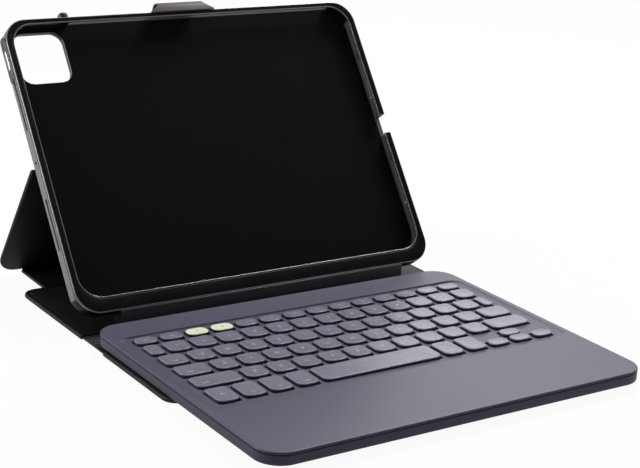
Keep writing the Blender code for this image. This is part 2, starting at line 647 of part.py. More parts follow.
def build_keyboard_inside():
    port_end = KEYBOARD_WIDTH / 2 - GAP - PORT_DEPTH
    middle_y = KEYBOARD_FRONT + INNER_FRONT
    seat = FLOOR_TOP + GAP
    box("battery", (BATTERY_X - BATTERY_WIDTH / 2, middle_y - BATTERY_DEPTH / 2, seat),
        (BATTERY_X + BATTERY_WIDTH / 2, middle_y + BATTERY_DEPTH / 2, seat + BATTERY_THICK), battery_foil())
    board_right = port_end - GAP
    box("circuit_board", (board_right - BOARD_WIDTH, middle_y - BOARD_DEPTH / 2, seat),
        (board_right, middle_y + BOARD_DEPTH / 2, seat + CIRCUIT_THICK), circuit_laminate())

    half = WELL_HALF_WIDTH
    rear = KEYBOARD_REAR - WELL_REAR
    front = rear - WELL_DEPTH
    box("backing_plate", (-half, front, PLATE_TOP - PLATE_THICK), (half, rear, PLATE_TOP), steel())
    box("switch_sheet", (-half, front, SHEET_TOP - SHEET_THICK), (half, rear, SHEET_TOP), circuit_laminate())

    magnet_rear = KEYBOARD_REAR - COVER_WALL - 2 * GAP
    magnet_x = DOCK_LENGTH / 2 - DOCK_WALL - MAGNET_END_GAP - MAGNET_LENGTH / 2
    dock_middle = DOCK_FRONT + DOCK_WALL + GAP + MAGNET_DEPTH / 2
    for label, side in (("left", -1), ("right", 1)):
        low_x = side * magnet_x - MAGNET_LENGTH / 2
        high_x = side * magnet_x + MAGNET_LENGTH / 2
        box("keyboard_magnet_" + label, (low_x, magnet_rear - MAGNET_DEPTH, seat),
            (high_x, magnet_rear, seat + MAGNET_THICK), magnet_metal())
        box("dock_magnet_" + label, (low_x, dock_middle - MAGNET_DEPTH / 2, seat),
            (high_x, dock_middle + MAGNET_DEPTH / 2, seat + DOCK_MAGNET_THICK), magnet_metal())


def build_dock_bar():
    """Bar with a sloping seat behind its front edge, open below where its magnets sit."""
    seat_run = DOCK_SEAT * math.cos(RECLINE)
    seat_drop = DOCK_SEAT * math.sin(RECLINE)
    back = SEAT_START.y + seat_run
    profile = [
        (DOCK_FRONT, DOCK_FOOT),
        (back, DOCK_FOOT),
        (back, SEAT_START.z - seat_drop),
        (SEAT_START.y, SEAT_START.z),
        (DOCK_FRONT + DOCK_EDGE, DOCK_TOP),
        (DOCK_FRONT, DOCK_TOP - DOCK_EDGE),
    ]
    bar = profile_bar("dock_bar", profile, -DOCK_LENGTH / 2, DOCK_LENGTH / 2, shell_plastic())
    room = DOCK_LENGTH / 2 - DOCK_WALL
    cut(bar, box("dock_room_tool", (-room, DOCK_FRONT + DOCK_WALL, KEYBOARD_BOTTOM - DOCK_WALL),
                 (room, DOCK_FRONT + DOCK_WALL + MAGNET_DEPTH + 2 * GAP, DOCK_FOOT + DOCK_MAGNET_THICK + GAP)))


def key_rows():
    """Every key as (node, left, right, rear, front); keys of one node share a row and move together."""
    keys = []
    rear = KEYBOARD_REAR - WELL_REAR - KEYS_REAR_MARGIN
    column = (KEYS_RIGHT - KEYS_LEFT + KEY_GAP) / COLUMNS
    wide = column - KEY_GAP

    def place(node, left, right, back, depth):
        keys.append((node, left, right, back, back - depth))

    first_nodes = ("escape_key", "home_key", "pairing_key_one", "pairing_key_two")
    for index in range(COLUMNS):
        node = first_nodes[index] if index < len(first_nodes) else "shortcut_keys"
        left = KEYS_LEFT + index * column
        place(node, left, left + wide, rear, SHORT_KEY_DEPTH)

    rows = (
        ("grave_key", GRAVE_KEY, "digit_keys", DIGITS, "delete_key"),
        ("tab_key", TAB_KEY, "upper_letter_keys", DIGITS, "backslash_key"),
        ("caps_key", CAPS_KEY, "home_letter_keys", DIGITS - 1, "return_key"),
        ("left_shift_key", LEFT_SHIFT_KEY, "lower_letter_keys", DIGITS - 2, "right_shift_key"),
    )
    back = rear - SHORT_KEY_DEPTH - KEY_ROW_GAP
    for first, width, middle, count, last in rows:
        start = KEYS_LEFT + width + KEY_GAP
        place(first, KEYS_LEFT, start - KEY_GAP, back, KEY_DEPTH)
        for index in range(count):
            left = start + index * KEY_PITCH
            place(middle, left, left + KEY_PITCH - KEY_GAP, back, KEY_DEPTH)
        place(last, start + count * KEY_PITCH, KEYS_RIGHT, back, KEY_DEPTH)
        back -= KEY_DEPTH + KEY_ROW_GAP

    bottom_nodes = (
        ("function_key", 0, 1), ("control_key", 1, 1), ("left_option_key", 2, 1), ("left_command_key", 3, 1),
        ("space_bar", 4, 5), ("right_command_key", 9, 1), ("right_option_key", 10, 1),
    )
    for node, index, count in bottom_nodes:
        left = KEYS_LEFT + index * column
        place(node, left, left + count * column - KEY_GAP, back, BOTTOM_KEY_DEPTH)
    arrow_depth = (BOTTOM_KEY_DEPTH - ARROW_GAP) / 2
    low_back = back - arrow_depth - ARROW_GAP
    arrows = (("left_arrow_key", 11, low_back), ("up_arrow_key", 12, back),
              ("down_arrow_key", 12, low_back), ("right_arrow_key", 13, low_back))
    for node, index, arrow_back in arrows:
        left = KEYS_LEFT + index * column
        place(node, left, left + wide, arrow_back, arrow_depth)
    return keys


def build_keys():
    """Keys in their holes of the key frame; keys that share a node hang on a bar below the frame."""
    keys = key_rows()
    half = WELL_HALF_WIDTH + FRAME_MARGIN
    rear = KEYBOARD_REAR - WELL_REAR
    frame = box("key_frame", (-half, rear - WELL_DEPTH - FRAME_MARGIN, FRAME_UNDER),
                (half, rear + FRAME_MARGIN, FRAME_TOP), deck_plastic())
    holes = bmesh.new()
    groups = {}
    for node, left, right, back, front in keys:
        groups.setdefault(node, []).append((left, right, back, front))
        outline = rounded_outline((left - KEY_CLEAR, front - KEY_CLEAR), (right + KEY_CLEAR, back + KEY_CLEAR),
                                  KEY_REAR_CORNER / 2, steps=1)
        add_prism(holes, outline, FRAME_UNDER - FRAME_THICK, FRAME_TOP + FRAME_THICK)
    cut(frame, finish(holes, "key_holes_tool", None, None, (0, 0, 0)))

    for node, members in groups.items():
        middle_x = (members[0][0] + members[-1][1]) / 2
        middle_y = (members[0][2] + members[0][3]) / 2
        look = pairing_plastic() if node.startswith("pairing") else key_plastic()
        mesh = bmesh.new()
        for left, right, back, front in members:
            front_corner = min(KEY_FRONT_CORNER, KEY_CORNER_SHARE * (right - left))
            outline = rounded_outline((left - middle_x, front - middle_y), (right - middle_x, back - middle_y),
                                      front_corner, KEY_REAR_CORNER, KEY_ARC_STEPS)
            add_prism(mesh, outline, KEY_BOTTOM - KEY_TOP, 0, top_edge=KEY_EDGE)
        place = (middle_x, middle_y, KEY_TOP)
        key = finish(mesh, node, look, None, place)
        if len(members) > 1:
            reach = (members[-1][1] - members[0][0]) / 2 - KEY_LINK_WIDTH / 2
            low = (-reach, -KEY_LINK_WIDTH / 2, KEY_BOTTOM - KEY_TOP)
            high = (reach, KEY_LINK_WIDTH / 2, KEY_LINK_TOP - KEY_TOP)
            join(key, box(node + "_link_tool", low, high, place=place))


def main():
    clear_scene()
    stand_axis = build_folio()
    build_tray(stand_axis)
    build_keyboard_covers()
    build_keyboard_inside()
    build_dock_bar()
    build_keys()


main()
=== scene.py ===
import json
import math

import bmesh
import bpy
import numpy as np
from mathutils import Matrix, Vector


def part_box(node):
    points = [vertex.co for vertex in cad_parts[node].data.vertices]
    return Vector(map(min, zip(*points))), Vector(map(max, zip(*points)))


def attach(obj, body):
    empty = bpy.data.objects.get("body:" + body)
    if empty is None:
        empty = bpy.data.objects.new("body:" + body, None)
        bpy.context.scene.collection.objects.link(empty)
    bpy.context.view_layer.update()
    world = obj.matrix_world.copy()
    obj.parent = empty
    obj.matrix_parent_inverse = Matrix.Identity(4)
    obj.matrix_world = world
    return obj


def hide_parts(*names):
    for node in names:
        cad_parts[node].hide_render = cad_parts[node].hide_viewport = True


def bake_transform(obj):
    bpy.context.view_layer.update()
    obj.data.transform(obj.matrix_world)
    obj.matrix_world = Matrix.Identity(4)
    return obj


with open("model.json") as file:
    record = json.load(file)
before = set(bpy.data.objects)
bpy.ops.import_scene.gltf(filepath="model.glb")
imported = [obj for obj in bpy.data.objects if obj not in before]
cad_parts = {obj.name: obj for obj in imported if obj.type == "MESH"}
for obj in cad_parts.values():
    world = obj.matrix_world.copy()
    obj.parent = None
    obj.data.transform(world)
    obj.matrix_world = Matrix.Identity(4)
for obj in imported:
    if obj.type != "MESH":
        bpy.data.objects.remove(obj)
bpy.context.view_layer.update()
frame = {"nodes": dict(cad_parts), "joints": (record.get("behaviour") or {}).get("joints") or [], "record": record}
nodes = frame["nodes"]
joints = {joint["name"]: joint for joint in frame["joints"]}
mounts = {mount["name"]: mount for mount in frame["record"]["mounts"]}
mm = 0.001
leastCorner = 0.02 * mm
cornerSteps = 12
print("frame loaded:", len(nodes), "nodes")


# Outlines and rings

def roundedOutline(low, high, corners, steps=10):
    # a rectangle with a quarter circle in each corner, anticlockwise from the front right
    centreX = np.array([high[0] - corners[0], high[0] - corners[1], low[0] + corners[2], low[0] + corners[3]])
    centreY = np.array([low[1] + corners[0], high[1] - corners[1], high[1] - corners[2], low[1] + corners[3]])
    start = np.radians([-90, 0, 90, 180])
    angle = start[:, None] + np.linspace(0, np.pi / 2, steps + 1)[None, :]
    radius = np.array(corners)[:, None]
    x = centreX[:, None] + radius * np.cos(angle)
    y = centreY[:, None] + radius * np.sin(angle)
    return np.column_stack([x.ravel(), y.ravel()])


def insetOutline(shape, inset, steps=10):
    # no corner of the smaller outline is quite sharp
    low, high, corners = shape
    smaller = [max(corner - inset, leastCorner) for corner in corners]
    innerLow = (low[0] + inset, low[1] + inset)
    innerHigh = (high[0] - inset, high[1] - inset)
    return roundedOutline(innerLow, innerHigh, smaller, steps)


def lifted(outline, height):
    # the points of a flat outline at one height
    return np.column_stack([outline, np.full(len(outline), height)])


def standing(outline, x):
    # the points of an upright outline at one place across
    return np.column_stack([np.full(len(outline), x), outline])


def ringStack(shape, profile, steps=10):
    # profile holds (inset, height) pairs, from the underside round the rim to the top
    return np.array([lifted(insetOutline(shape, inset, steps), height) for inset, height in profile])


def lowerRoll(bottom, radius, count):
    # a quarter circle from the underside out to the wall, as (inset, height) pairs
    return [(radius * (1 - math.sin(a)), bottom + radius * (1 - math.cos(a)))
            for a in np.linspace(0, np.pi / 2, count)]


def upperRoll(top, radius, count):
    # a quarter circle from the wall over to the top, as (inset, height) pairs
    return [(radius * (1 - math.cos(a)), top - radius * (1 - math.sin(a)))
            for a in np.linspace(0, np.pi / 2, count)]


def ringFaces(count, around, loop=False):
    # four-sided faces between neighbouring rings, and one flat face at each end of an open stack
    index = np.arange(count * around).reshape(count, around)
    lower = index if loop else index[:-1]
    upper = np.roll(index, -1, axis=0) if loop else index[1:]
    quads = np.stack([lower, np.roll(lower, -1, 1), np.roll(upper, -1, 1), upper], axis=-1).reshape(-1, 4)
    faces = quads.tolist()
    if not loop:
        faces.append(index[0][::-1].tolist())
        faces.append(index[-1].tolist())
    return faces


def solid(rings, loop=False):
    rings = np.asarray(rings)
    return rings.reshape(-1, 3), ringFaces(rings.shape[0], rings.shape[1], loop)


def plate(shape, bottom, top, radius, steps=10, groove=None):
    # a board with a rolled edge and, if asked, a pressed line round its upper face
    profile = lowerRoll(bottom, radius, 6) + upperRoll(top, radius, 6)
    if groove:
        place, half, depth = groove
        profile += [(place, top), (place + half, top - depth), (place + 2 * half, top)]
    return solid(ringStack(shape, profile, steps))


def merged(parts):
    verts = np.vstack([part[0] for part in parts])
    starts = np.cumsum([0] + [len(part[0]) for part in parts[:-1]])
    faces = []
    for start, part in zip(starts, parts):
        faces += [(np.array(face) + start).tolist() for face in part[1]]
    return verts, faces


# Frames: a piece is drawn lying flat, then placed by its two directions

def placed(verts, origin, along, normal):
    # x stays x, y runs along the first direction and z along the second
    basis = np.array([[1, 0, 0], list(along), list(normal)])
    return np.asarray(verts) @ basis + np.array(origin)


trayOut = Vector(mounts["pocket_floor"]["axis"]).normalized()
trayUp = Vector((0, trayOut.z, -trayOut.y))
trayMiddle = Vector(mounts["pocket_floor"]["pos_m"])


def trayPlaced(verts):
    return placed(verts, trayMiddle, trayUp, trayOut)


def trayBox(node):
    # lowest and highest corner of a node, measured along the tray's own directions
    co = np.array([vert.co for vert in nodes[node].data.vertices])
    local = (co - np.array(trayMiddle)) @ np.array([[1, 0, 0], list(trayUp), list(trayOut)]).T
    return local.min(0), local.max(0)


def newObject(name, verts, faces, look=None, closed=True):
    mesh = bpy.data.meshes.new(name)
    mesh.from_pydata(np.asarray(verts).tolist(), [], faces)
    # a closed mesh with a negative volume is inside out, so its faces are turned
    if closed:
        shape = bmesh.new()
        shape.from_mesh(mesh)
        if shape.calc_volume(signed=True) < 0:
            mesh.flip_normals()
        shape.free()
    if look:
        mesh.materials.append(look)
    made = bpy.data.objects.new(name, mesh)
    bpy.context.collection.objects.link(made)
    return made


def shaded(made, sharp=35):
    mesh = made.data
    mesh.polygons.foreach_set("use_smooth", np.ones(len(mesh.polygons), bool))
    mesh.set_sharp_from_angle(angle=math.radians(sharp))
    mesh.update()
    return made


def evaluatedMesh(item):
    bpy.context.view_layer.update()
    return bpy.data.meshes.new_from_object(item.evaluated_get(bpy.context.evaluated_depsgraph_get()))


def carved(made, cutters):
    # cut other solids away with exact Booleans, then keep the finished mesh
    for cutter in cutters:
        step = made.modifiers.new("carve", "BOOLEAN")
        step.operation = "DIFFERENCE"
        step.solver = "EXACT"
        step.object = cutter
    finished = evaluatedMesh(made)
    made.modifiers.clear()
    made.data = finished
    for cutter in cutters:
        bpy.data.objects.remove(cutter, do_unlink=True)
    return made


def faceValues(made, name):
    # one vector for each face, such as its normal or its centre
    values = np.zeros(3 * len(made.data.polygons))
    made.data.polygons.foreach_get(name, values)
    return values.reshape(-1, 3)


def secondLook(made, look, chosen):
    # the chosen faces carry a second material
    made.data.materials.append(look)
    made.data.polygons.foreach_set("material_index", np.asarray(chosen).astype(int))


def joinFrame(made, body, slot, *stands):
    # a piece rides on one body, and stands in for the CAD nodes named last
    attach(made, body)
    if stands:
        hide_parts(*stands)
    return made


# Materials

def makeLook(name, settings):
    look = bpy.data.materials.new(name)
    look.use_nodes = True
    tree = look.node_tree
    link = tree.links.new
    shader = tree.nodes["Principled BSDF"]
    coords = tree.nodes.new("ShaderNodeTexCoord")

    # slow mottling of colour and gloss
    mottle = tree.nodes.new("ShaderNodeTexNoise")
    mottle.inputs["Scale"].default_value = settings["mottle"]
    mottle.inputs["Detail"].default_value = 4
    link(coords.outputs["Object"], mottle.inputs["Vector"])
    colour = tree.nodes.new("ShaderNodeMix")
    colour.data_type = "RGBA"
    colour.inputs["A"].default_value = (*settings["dark"], 1)
    colour.inputs["B"].default_value = (*settings["light"], 1)
    link(mottle.outputs["Fac"], colour.inputs["Factor"])
    gloss = tree.nodes.new("ShaderNodeMapRange")
    gloss.inputs["To Min"].default_value = settings["rough"][0]
    gloss.inputs["To Max"].default_value = settings["rough"][1]
    link(mottle.outputs["Fac"], gloss.inputs["Value"])
    link(gloss.outputs["Result"], shader.inputs["Roughness"])

    # fine grain of the surface
    if settings.get("cells"):
        grain = tree.nodes.new("ShaderNodeTexVoronoi")
        grain.feature = "F1"
        height = grain.outputs["Distance"]
    else:
        grain = tree.nodes.new("ShaderNodeTexNoise")
        grain.inputs["Detail"].default_value = 2
        height = grain.outputs["Fac"]
    grain.inputs["Scale"].default_value = settings["grain"]
    link(coords.outputs["Object"], grain.inputs["Vector"])
    bump = tree.nodes.new("ShaderNodeBump")
    bump.inputs["Strength"].default_value = settings.get("bump", 0.15)
    bump.inputs["Distance"].default_value = settings.get("relief", 0.03) * mm
    link(height, bump.inputs["Height"])
    link(bump.outputs["Normal"], shader.inputs["Normal"])

    # small pale flecks, where the material has them
    tone = colour.outputs["Result"]
    if settings.get("fleck"):
        fleck = tree.nodes.new("ShaderNodeMapRange")
        fleck.inputs["From Min"].default_value = 0.52
        fleck.inputs["From Max"].default_value = 0.72
        fleck.inputs["To Max"].default_value = settings["fleck"]
        speck = tree.nodes.new("ShaderNodeTexNoise")
        speck.inputs["Scale"].default_value = settings["fleckScale"]
        speck.inputs["Detail"].default_value = 1
        link(coords.outputs["Object"], speck.inputs["Vector"])
        link(speck.outputs["Fac"], fleck.inputs["Value"])
        paler = tree.nodes.new("ShaderNodeMix")
        paler.data_type = "RGBA"
        paler.inputs["B"].default_value = (*settings["fleckColour"], 1)
        link(fleck.outputs["Result"], paler.inputs["Factor"])
        link(tone, paler.inputs["A"])
        tone = paler.outputs["Result"]
    link(tone, shader.inputs["Base Color"])
    shader.inputs["Metallic"].default_value = settings.get("metal", 0)
    shader.inputs["Specular IOR Level"].default_value = settings.get("specular", 0.5)
    shader.inputs["Specular Tint"].default_value = (*settings.get("tint", (1, 1, 1)), 1)
    return look


looks = {
    "folio": makeLook("folioSkin", {
        "dark": (0.0030, 0.0028, 0.0042), "light": (0.0052, 0.0048, 0.0070), "rough": (0.50, 0.62),
        "mottle": 25, "cells": True, "grain": 1400, "bump": 0.30, "relief": 0.06, "specular": 0.2}),
    "fold": makeLook("foldSkin", {
        "dark": (0.012, 0.011, 0.013), "light": (0.022, 0.020, 0.024), "rough": (0.36, 0.48),
        "mottle": 80, "grain": 1800, "bump": 0.35, "relief": 0.08, "specular": 0.4}),
    "shell": makeLook("trayPlastic", {
        "dark": (0.088, 0.085, 0.094), "light": (0.110, 0.107, 0.117), "rough": (0.34, 0.44),
        "mottle": 50, "grain": 4200, "bump": 0.12}),
    "bumper": makeLook("bumperRubber", {
        "dark": (0.0035, 0.0032, 0.0036), "light": (0.0055, 0.0050, 0.0055), "rough": (0.30, 0.40),
        "mottle": 40, "grain": 2600, "bump": 0.10, "specular": 0.15}),
    # much paler than the bumper rubber: painted highlight for the lip's rounded edges
    "bead": makeLook("bumperBead", {
        "dark": (0.120, 0.112, 0.120), "light": (0.150, 0.140, 0.150), "rough": (0.16, 0.22),
        "mottle": 40, "grain": 2600, "bump": 0.05, "relief": 0.02, "specular": 1.0}),
    "surround": makeLook("buttonSurround", {
        "dark": (0.006, 0.0055, 0.007), "light": (0.012, 0.011, 0.013), "rough": (0.30, 0.42),
        "mottle": 90, "grain": 2600, "bump": 0.2, "relief": 0.04}),
    "strap": makeLook("strapRubber", {
        "dark": (0.058, 0.046, 0.051), "light": (0.078, 0.062, 0.069), "rough": (0.45, 0.58),
        "mottle": 60, "grain": 2600, "relief": 0.04, "specular": 0.3}),
    "dock": makeLook("dockPlastic", {
        "dark": (0.024, 0.022, 0.034), "light": (0.031, 0.029, 0.043), "rough": (0.40, 0.50),
        "mottle": 30, "grain": 3200}),
    "lining": makeLook("liningCloth", {
        "dark": (0.0020, 0.0020, 0.0023), "light": (0.0040, 0.0040, 0.0045), "rough": (0.85, 0.98),
        "mottle": 120, "cells": True, "grain": 2200, "bump": 0.5, "relief": 0.12, "specular": 0.1}),
    "deck": makeLook("deckPlastic", {
        "dark": (0.066, 0.063, 0.096), "light": (0.074, 0.071, 0.107), "rough": (0.38, 0.46),
        "mottle": 14, "grain": 3600, "bump": 0.16, "specular": 0.36,
        "tint": (0.86, 0.89, 1.0)}),
    "lower": makeLook("lowerShellPlastic", {
        "dark": (0.011, 0.010, 0.017), "light": (0.015, 0.013, 0.022), "rough": (0.40, 0.50),
        "mottle": 30, "grain": 3200, "tint": (0.72, 0.66, 0.95)}),
    "key": makeLook("keyPlastic", {
        "dark": (0.168, 0.157, 0.205), "light": (0.192, 0.180, 0.236), "rough": (0.25, 0.30),
        "mottle": 120, "grain": 3000, "bump": 0.10, "specular": 0.43,
        "fleck": 0.12, "fleckScale": 1700, "fleckColour": (0.30, 0.30, 0.35), "tint": (0.80, 0.86, 1.0)}),
    # near-black cap walls and row bar: painted shade for the shaded sides of the keys
    "skirt": makeLook("keySkirtPlastic", {
        "dark": (0.010, 0.010, 0.014), "light": (0.016, 0.016, 0.021), "rough": (0.42, 0.55),
        "mottle": 120, "grain": 3000}),
    "pairing": makeLook("pairingKeyPlastic", {
        "dark": (0.62, 0.70, 0.48), "light": (0.76, 0.83, 0.63), "rough": (0.38, 0.48),
        "mottle": 160, "grain": 3000, "bump": 0.2, "relief": 0.04}),
    "legend": makeLook("legendInk", {
        "dark": (0.46, 0.46, 0.50), "light": (0.54, 0.54, 0.58), "rough": (0.45, 0.55),
        "mottle": 200, "grain": 4000, "bump": 0.05, "relief": 0.01}),
    "legendDark": makeLook("legendDarkInk", {
        "dark": (0.10, 0.11, 0.09), "light": (0.14, 0.15, 0.12), "rough": (0.45, 0.55),
        "mottle": 200, "grain": 4000, "bump": 0.05, "relief": 0.01}),
    "steel": makeLook("brushedSteel", {
        "dark": (0.42, 0.43, 0.45), "light": (0.56, 0.57, 0.59), "rough": (0.26, 0.40),
        "mottle": 300, "grain": 3500, "bump": 0.1, "relief": 0.02, "metal": 1}),
    "foot": makeLook("footRubber", {
        "dark": (0.010, 0.010, 0.011), "light": (0.018, 0.018, 0.019), "rough": (0.65, 0.80),
        "mottle": 150, "grain": 1800, "bump": 0.3, "relief": 0.08}),
    "laminate": makeLook("circuitLaminate", {
        "dark": (0.010, 0.075, 0.040), "light": (0.016, 0.110, 0.060), "rough": (0.30, 0.45),
        "mottle": 220, "grain": 1200, "bump": 0.2, "relief": 0.05}),
    "foil": makeLook("batteryFoil", {
        "dark": (0.30, 0.31, 0.33), "light": (0.38, 0.39, 0.41), "rough": (0.28, 0.42),
        "mottle": 90, "grain": 500, "bump": 0.3, "relief": 0.1, "metal": 0.6}),
}
nodeLooks = {
    "tray_lining": "lining", "key_frame": "deck", "charge_port": "steel", "foot_plate": "steel",
    "backing_plate": "steel", "switch_sheet": "laminate", "circuit_board": "laminate", "battery": "foil",
    "dock_magnet_left": "steel", "dock_magnet_right": "steel", "keyboard_magnet_left": "steel",
    "keyboard_magnet_right": "steel",
}
for node, look in nodeLooks.items():
    nodes[node].data.materials.clear()
    nodes[node].data.materials.append(looks[look])
print("materials made:", len(looks))


# Folio boards with rolled edges and a pressed rim line

boards = {"edge": 1.1 * mm, "corner": 9.0 * mm, "square": 1.2 * mm, "upperEdge": 0.9 * mm,
          "groove": (2.6 * mm, 0.3 * mm, 0.14 * mm), "spineThick": 2.0 * mm, "spineEdge": 0.6 * mm,
          "standThick": 2.6 * mm, "standEdge": 1.0 * mm, "standCorner": 13.0 * mm}
square = boards["square"]
flatBoards = {
    "basePanel": ("base_panel", "base", (square, boards["corner"], boards["corner"], square)),
    "frontFlap": ("front_flap", "flap", (boards["corner"], square, square, boards["corner"])),
}
for name, (node, body, corners) in flatBoards.items():
    low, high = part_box(node)
    shape = ((low.x, low.y), (high.x, high.y), corners)
    verts, faces = plate(shape, low.z, high.z, boards["edge"], groove=boards["groove"])
    joinFrame(shaded(newObject(name, verts, faces, looks["folio"])), body, "folio", node)

baseAxis = Vector(joints["spine_fold"]["pos_m"])
spineAxis = Vector(joints["stand_fold"]["pos_m"])
standAxis = Vector(joints["tray_fold"]["pos_m"])
flapAxis = Vector(joints["flap_fold"]["pos_m"])
foldGaps = {"base": 0.45 * mm, "spine": 1.9 * mm, "tray": 1.0 * mm, "flap": 0.9 * mm}


def foldBoard(name, node, start, end, gaps, thick, corners, body, edge):
    # a board between two fold axes, drawn flat and then leant to its place
    along = (end - start).normalized()
    normal = Vector((1, 0, 0)).cross(along)
    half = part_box(node)[1].x
    shape = ((-half, gaps[0]), (half, (end - start).length - gaps[1]), corners)
    verts, faces = plate(shape, -thick / 2, thick / 2, edge)
    made = newObject(name, placed(verts, start, along, normal), faces, looks["folio"])
    return joinFrame(shaded(made), body, "folio", node)


foldBoard("spinePanel", "spine_panel", baseAxis, spineAxis, (foldGaps["base"], foldGaps["spine"]),
          boards["spineThick"], (square,) * 4, "spine", boards["spineEdge"])
foldBoard("standPanel", "stand_panel", spineAxis, standAxis, (foldGaps["spine"], foldGaps["tray"]),
          boards["standThick"], (boards["standCorner"], square, square, boards["standCorner"]), "stand",
          boards["standEdge"])
print("folio boards made")


# Soft skin at the folds: a thin membrane from the edge of one board to the edge of the next

skins = {"base": 0.9 * mm, "spine": 0.8 * mm, "stand": 0.8 * mm, "flap": 0.6 * mm,
         "spineInset": 1.5 * mm, "standInset": 4 * mm, "flapInset": 1 * mm}


def foldSkin(name, axis, before, after, gaps, half, thick):
    # middle line is a quadratic curve from edge to edge with the fold axis as its control point
    first = axis - before * gaps[0]
    last = axis + after * gaps[1]
    t = np.linspace(0, 1, 13)[:, None]
    line = (1 - t) ** 2 * np.array(first) + 2 * t * (1 - t) * np.array(axis) + t ** 2 * np.array(last)
    slope = np.gradient(line, axis=0)
    slope /= np.linalg.norm(slope, axis=1)[:, None]
    normal = np.cross(np.array([1.0, 0, 0]), slope)
    side = np.array([half, 0, 0])
    rings = np.stack([line - side - normal * thick / 2, line + side - normal * thick / 2,
                      line + side + normal * thick / 2, line - side + normal * thick / 2], axis=1)
    verts, faces = solid(rings[:, ::-1])
    made = shaded(newObject(name, verts, faces, looks["fold"]))
    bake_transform(made)
    return made


alongSpine = (spineAxis - baseAxis).normalized()
alongStand = (standAxis - spineAxis).normalized()
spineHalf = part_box("spine_panel")[1].x - skins["spineInset"]
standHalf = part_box("stand_panel")[1].x - skins["standInset"]
forward = Vector((0, -1, 0))
foldSkin("baseFoldSkin", baseAxis, -forward, alongSpine, (foldGaps["base"],) * 2, spineHalf,
         skins["base"])
foldSkin("spineFoldSkin", spineAxis, alongSpine, alongStand, (foldGaps["spine"],) * 2, spineHalf,
         skins["spine"])
foldSkin("standFoldSkin", standAxis, alongStand, trayUp, (foldGaps["tray"],) * 2, standHalf,
         skins["stand"])

low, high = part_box("flap_hinge_strip")
ribs = {"count": 7, "depth": 0.10 * mm, "points": 90}
y = np.linspace(high.y, low.y, ribs["points"])
# height follows a cosine: shallow pressed ribs across the fold
wave = ribs["depth"] * np.cos((y - low.y) / (high.y - low.y) * ribs["count"] * 2 * np.pi)
top = high.z - ribs["depth"] + wave
under = np.full(len(y), low.z)
corners = ((low.x, under), (low.x, top), (high.x, top), (high.x, under))
rings = np.stack([standing(np.column_stack([y, z]), x) for x, z in corners], axis=1)
verts, faces = solid(rings[:, ::-1])
strip = newObject("flapFoldStrip", verts, faces, looks["fold"])
joinFrame(shaded(strip, 60), "base", "folio", "flap_hinge_strip")
foldSkin("flapFoldSkin", flapAxis, forward, forward, (0.0, foldGaps["flap"]), high.x - skins["flapInset"],
         skins["flap"])
print("folds made")


# Tray

tray = {"corner": 15.0 * mm, "pocketCorner": 15.5 * mm, "lip": 1.6 * mm, "side": 3.1 * mm, "top": 1.8 * mm,
        "chin": 8.1 * mm, "backEdge": 2.0 * mm, "gap": 0.3 * mm}
bumperLow, bumperHigh = trayBox("tray_bumper")
shellLow, shellHigh = trayBox("tray_shell")
liningLow, liningHigh = trayBox("tray_lining")
outer = ((bumperLow[0], bumperLow[1]), (bumperHigh[0], bumperHigh[1]), (tray["corner"],) * 4)
pocket = ((bumperLow[0] + tray["side"], bumperLow[1] + tray["chin"]),
          (bumperHigh[0] - tray["side"], bumperHigh[1] - tray["top"]), (tray["pocketCorner"],) * 4)
shellBack = shellLow[2]
shellFront = bumperLow[2] - tray["gap"]
floor = liningLow[2] - tray["gap"]
pocketMiddle = (bumperLow[2] + liningHigh[2]) / 2


def prismTool(name, outline, bottom, top):
    verts, faces = solid([lifted(outline, height) for height in (bottom, top)])
    return newObject(name, trayPlaced(verts), faces)


def boxTool(name, low, high):
    outline = np.array([[low[0], low[1]], [high[0], low[1]], [high[0], high[1]], [low[0], high[1]]])
    return prismTool(name, outline, low[2], high[2])


def slotTool(name, x, middle, length, width):
    # a long hole with round ends through a side wall, drawn as an outline along the wall
    low = (middle - length / 2, pocketMiddle - width / 2)
    high = (middle + length / 2, pocketMiddle + width / 2)
    outline = roundedOutline(low, high, (width / 2 - 0.01 * mm,) * 4, 6)
    reach = 2 * tray["side"]
    verts, faces = solid([standing(outline, x + side * reach) for side in (-1, 1)])
    return newObject(name, trayPlaced(verts), faces)


cameraHole = {"wall": 2.0 * mm, "corner": 8 * mm, "panelGap": 2.3 * mm, "face": 1.6 * mm, "bevel": 0.5 * mm}


def cameraOutline(grow):
    # the outline of the camera hole, made larger by the given length
    ringLow, ringHigh = trayBox("camera_surround")
    wall = cameraHole["wall"]
    low = (ringLow[0] + wall - grow, ringLow[1] + wall - grow)
    high = (ringHigh[0] - wall + grow, ringHigh[1] - wall + grow)
    return roundedOutline(low, high, (cameraHole["corner"] + grow,) * 4, 8)


back = lowerRoll(shellBack, tray["backEdge"], 7)
rim = [(0, shellFront - 0.35 * mm), (0.1 * mm, shellFront - 0.1 * mm), (0.35 * mm, shellFront)]
pocketWall = [(-0.3 * mm, shellFront), (0, shellFront - 0.3 * mm), (0, floor)]
rings = np.concatenate([ringStack(outer, back + rim, cornerSteps),
                        ringStack(pocket, pocketWall, cornerSteps)])
verts, faces = solid(rings)
shell = newObject("trayShell", trayPlaced(verts), faces, looks["shell"])
wallLeft = bumperLow[0] + tray["side"] / 2
wallRight = bumperHigh[0] - tray["side"] / 2
holes = {"slot": 33 * mm, "slotWidth": 2.1 * mm, "upper": 125 * mm, "lower": 48.5 * mm, "ear": 2.0 * mm,
         "notchHalf": 6.75 * mm, "notchFloor": 0.6 * mm, "clearance": 0.3 * mm, "through": 2 * mm,
         "beyond": 5 * mm, "front": 20 * mm}
zero = bumperLow[1] + tray["chin"] + tray["lip"]
openTop = bumperHigh[1] - tray["top"] - tray["lip"]
halfUp = (zero + openTop) / 2
cutters = [slotTool("slotTool", wall, zero + holes[place], holes["slot"], holes["slotWidth"])
           for wall in (wallLeft, wallRight) for place in ("upper", "lower")]
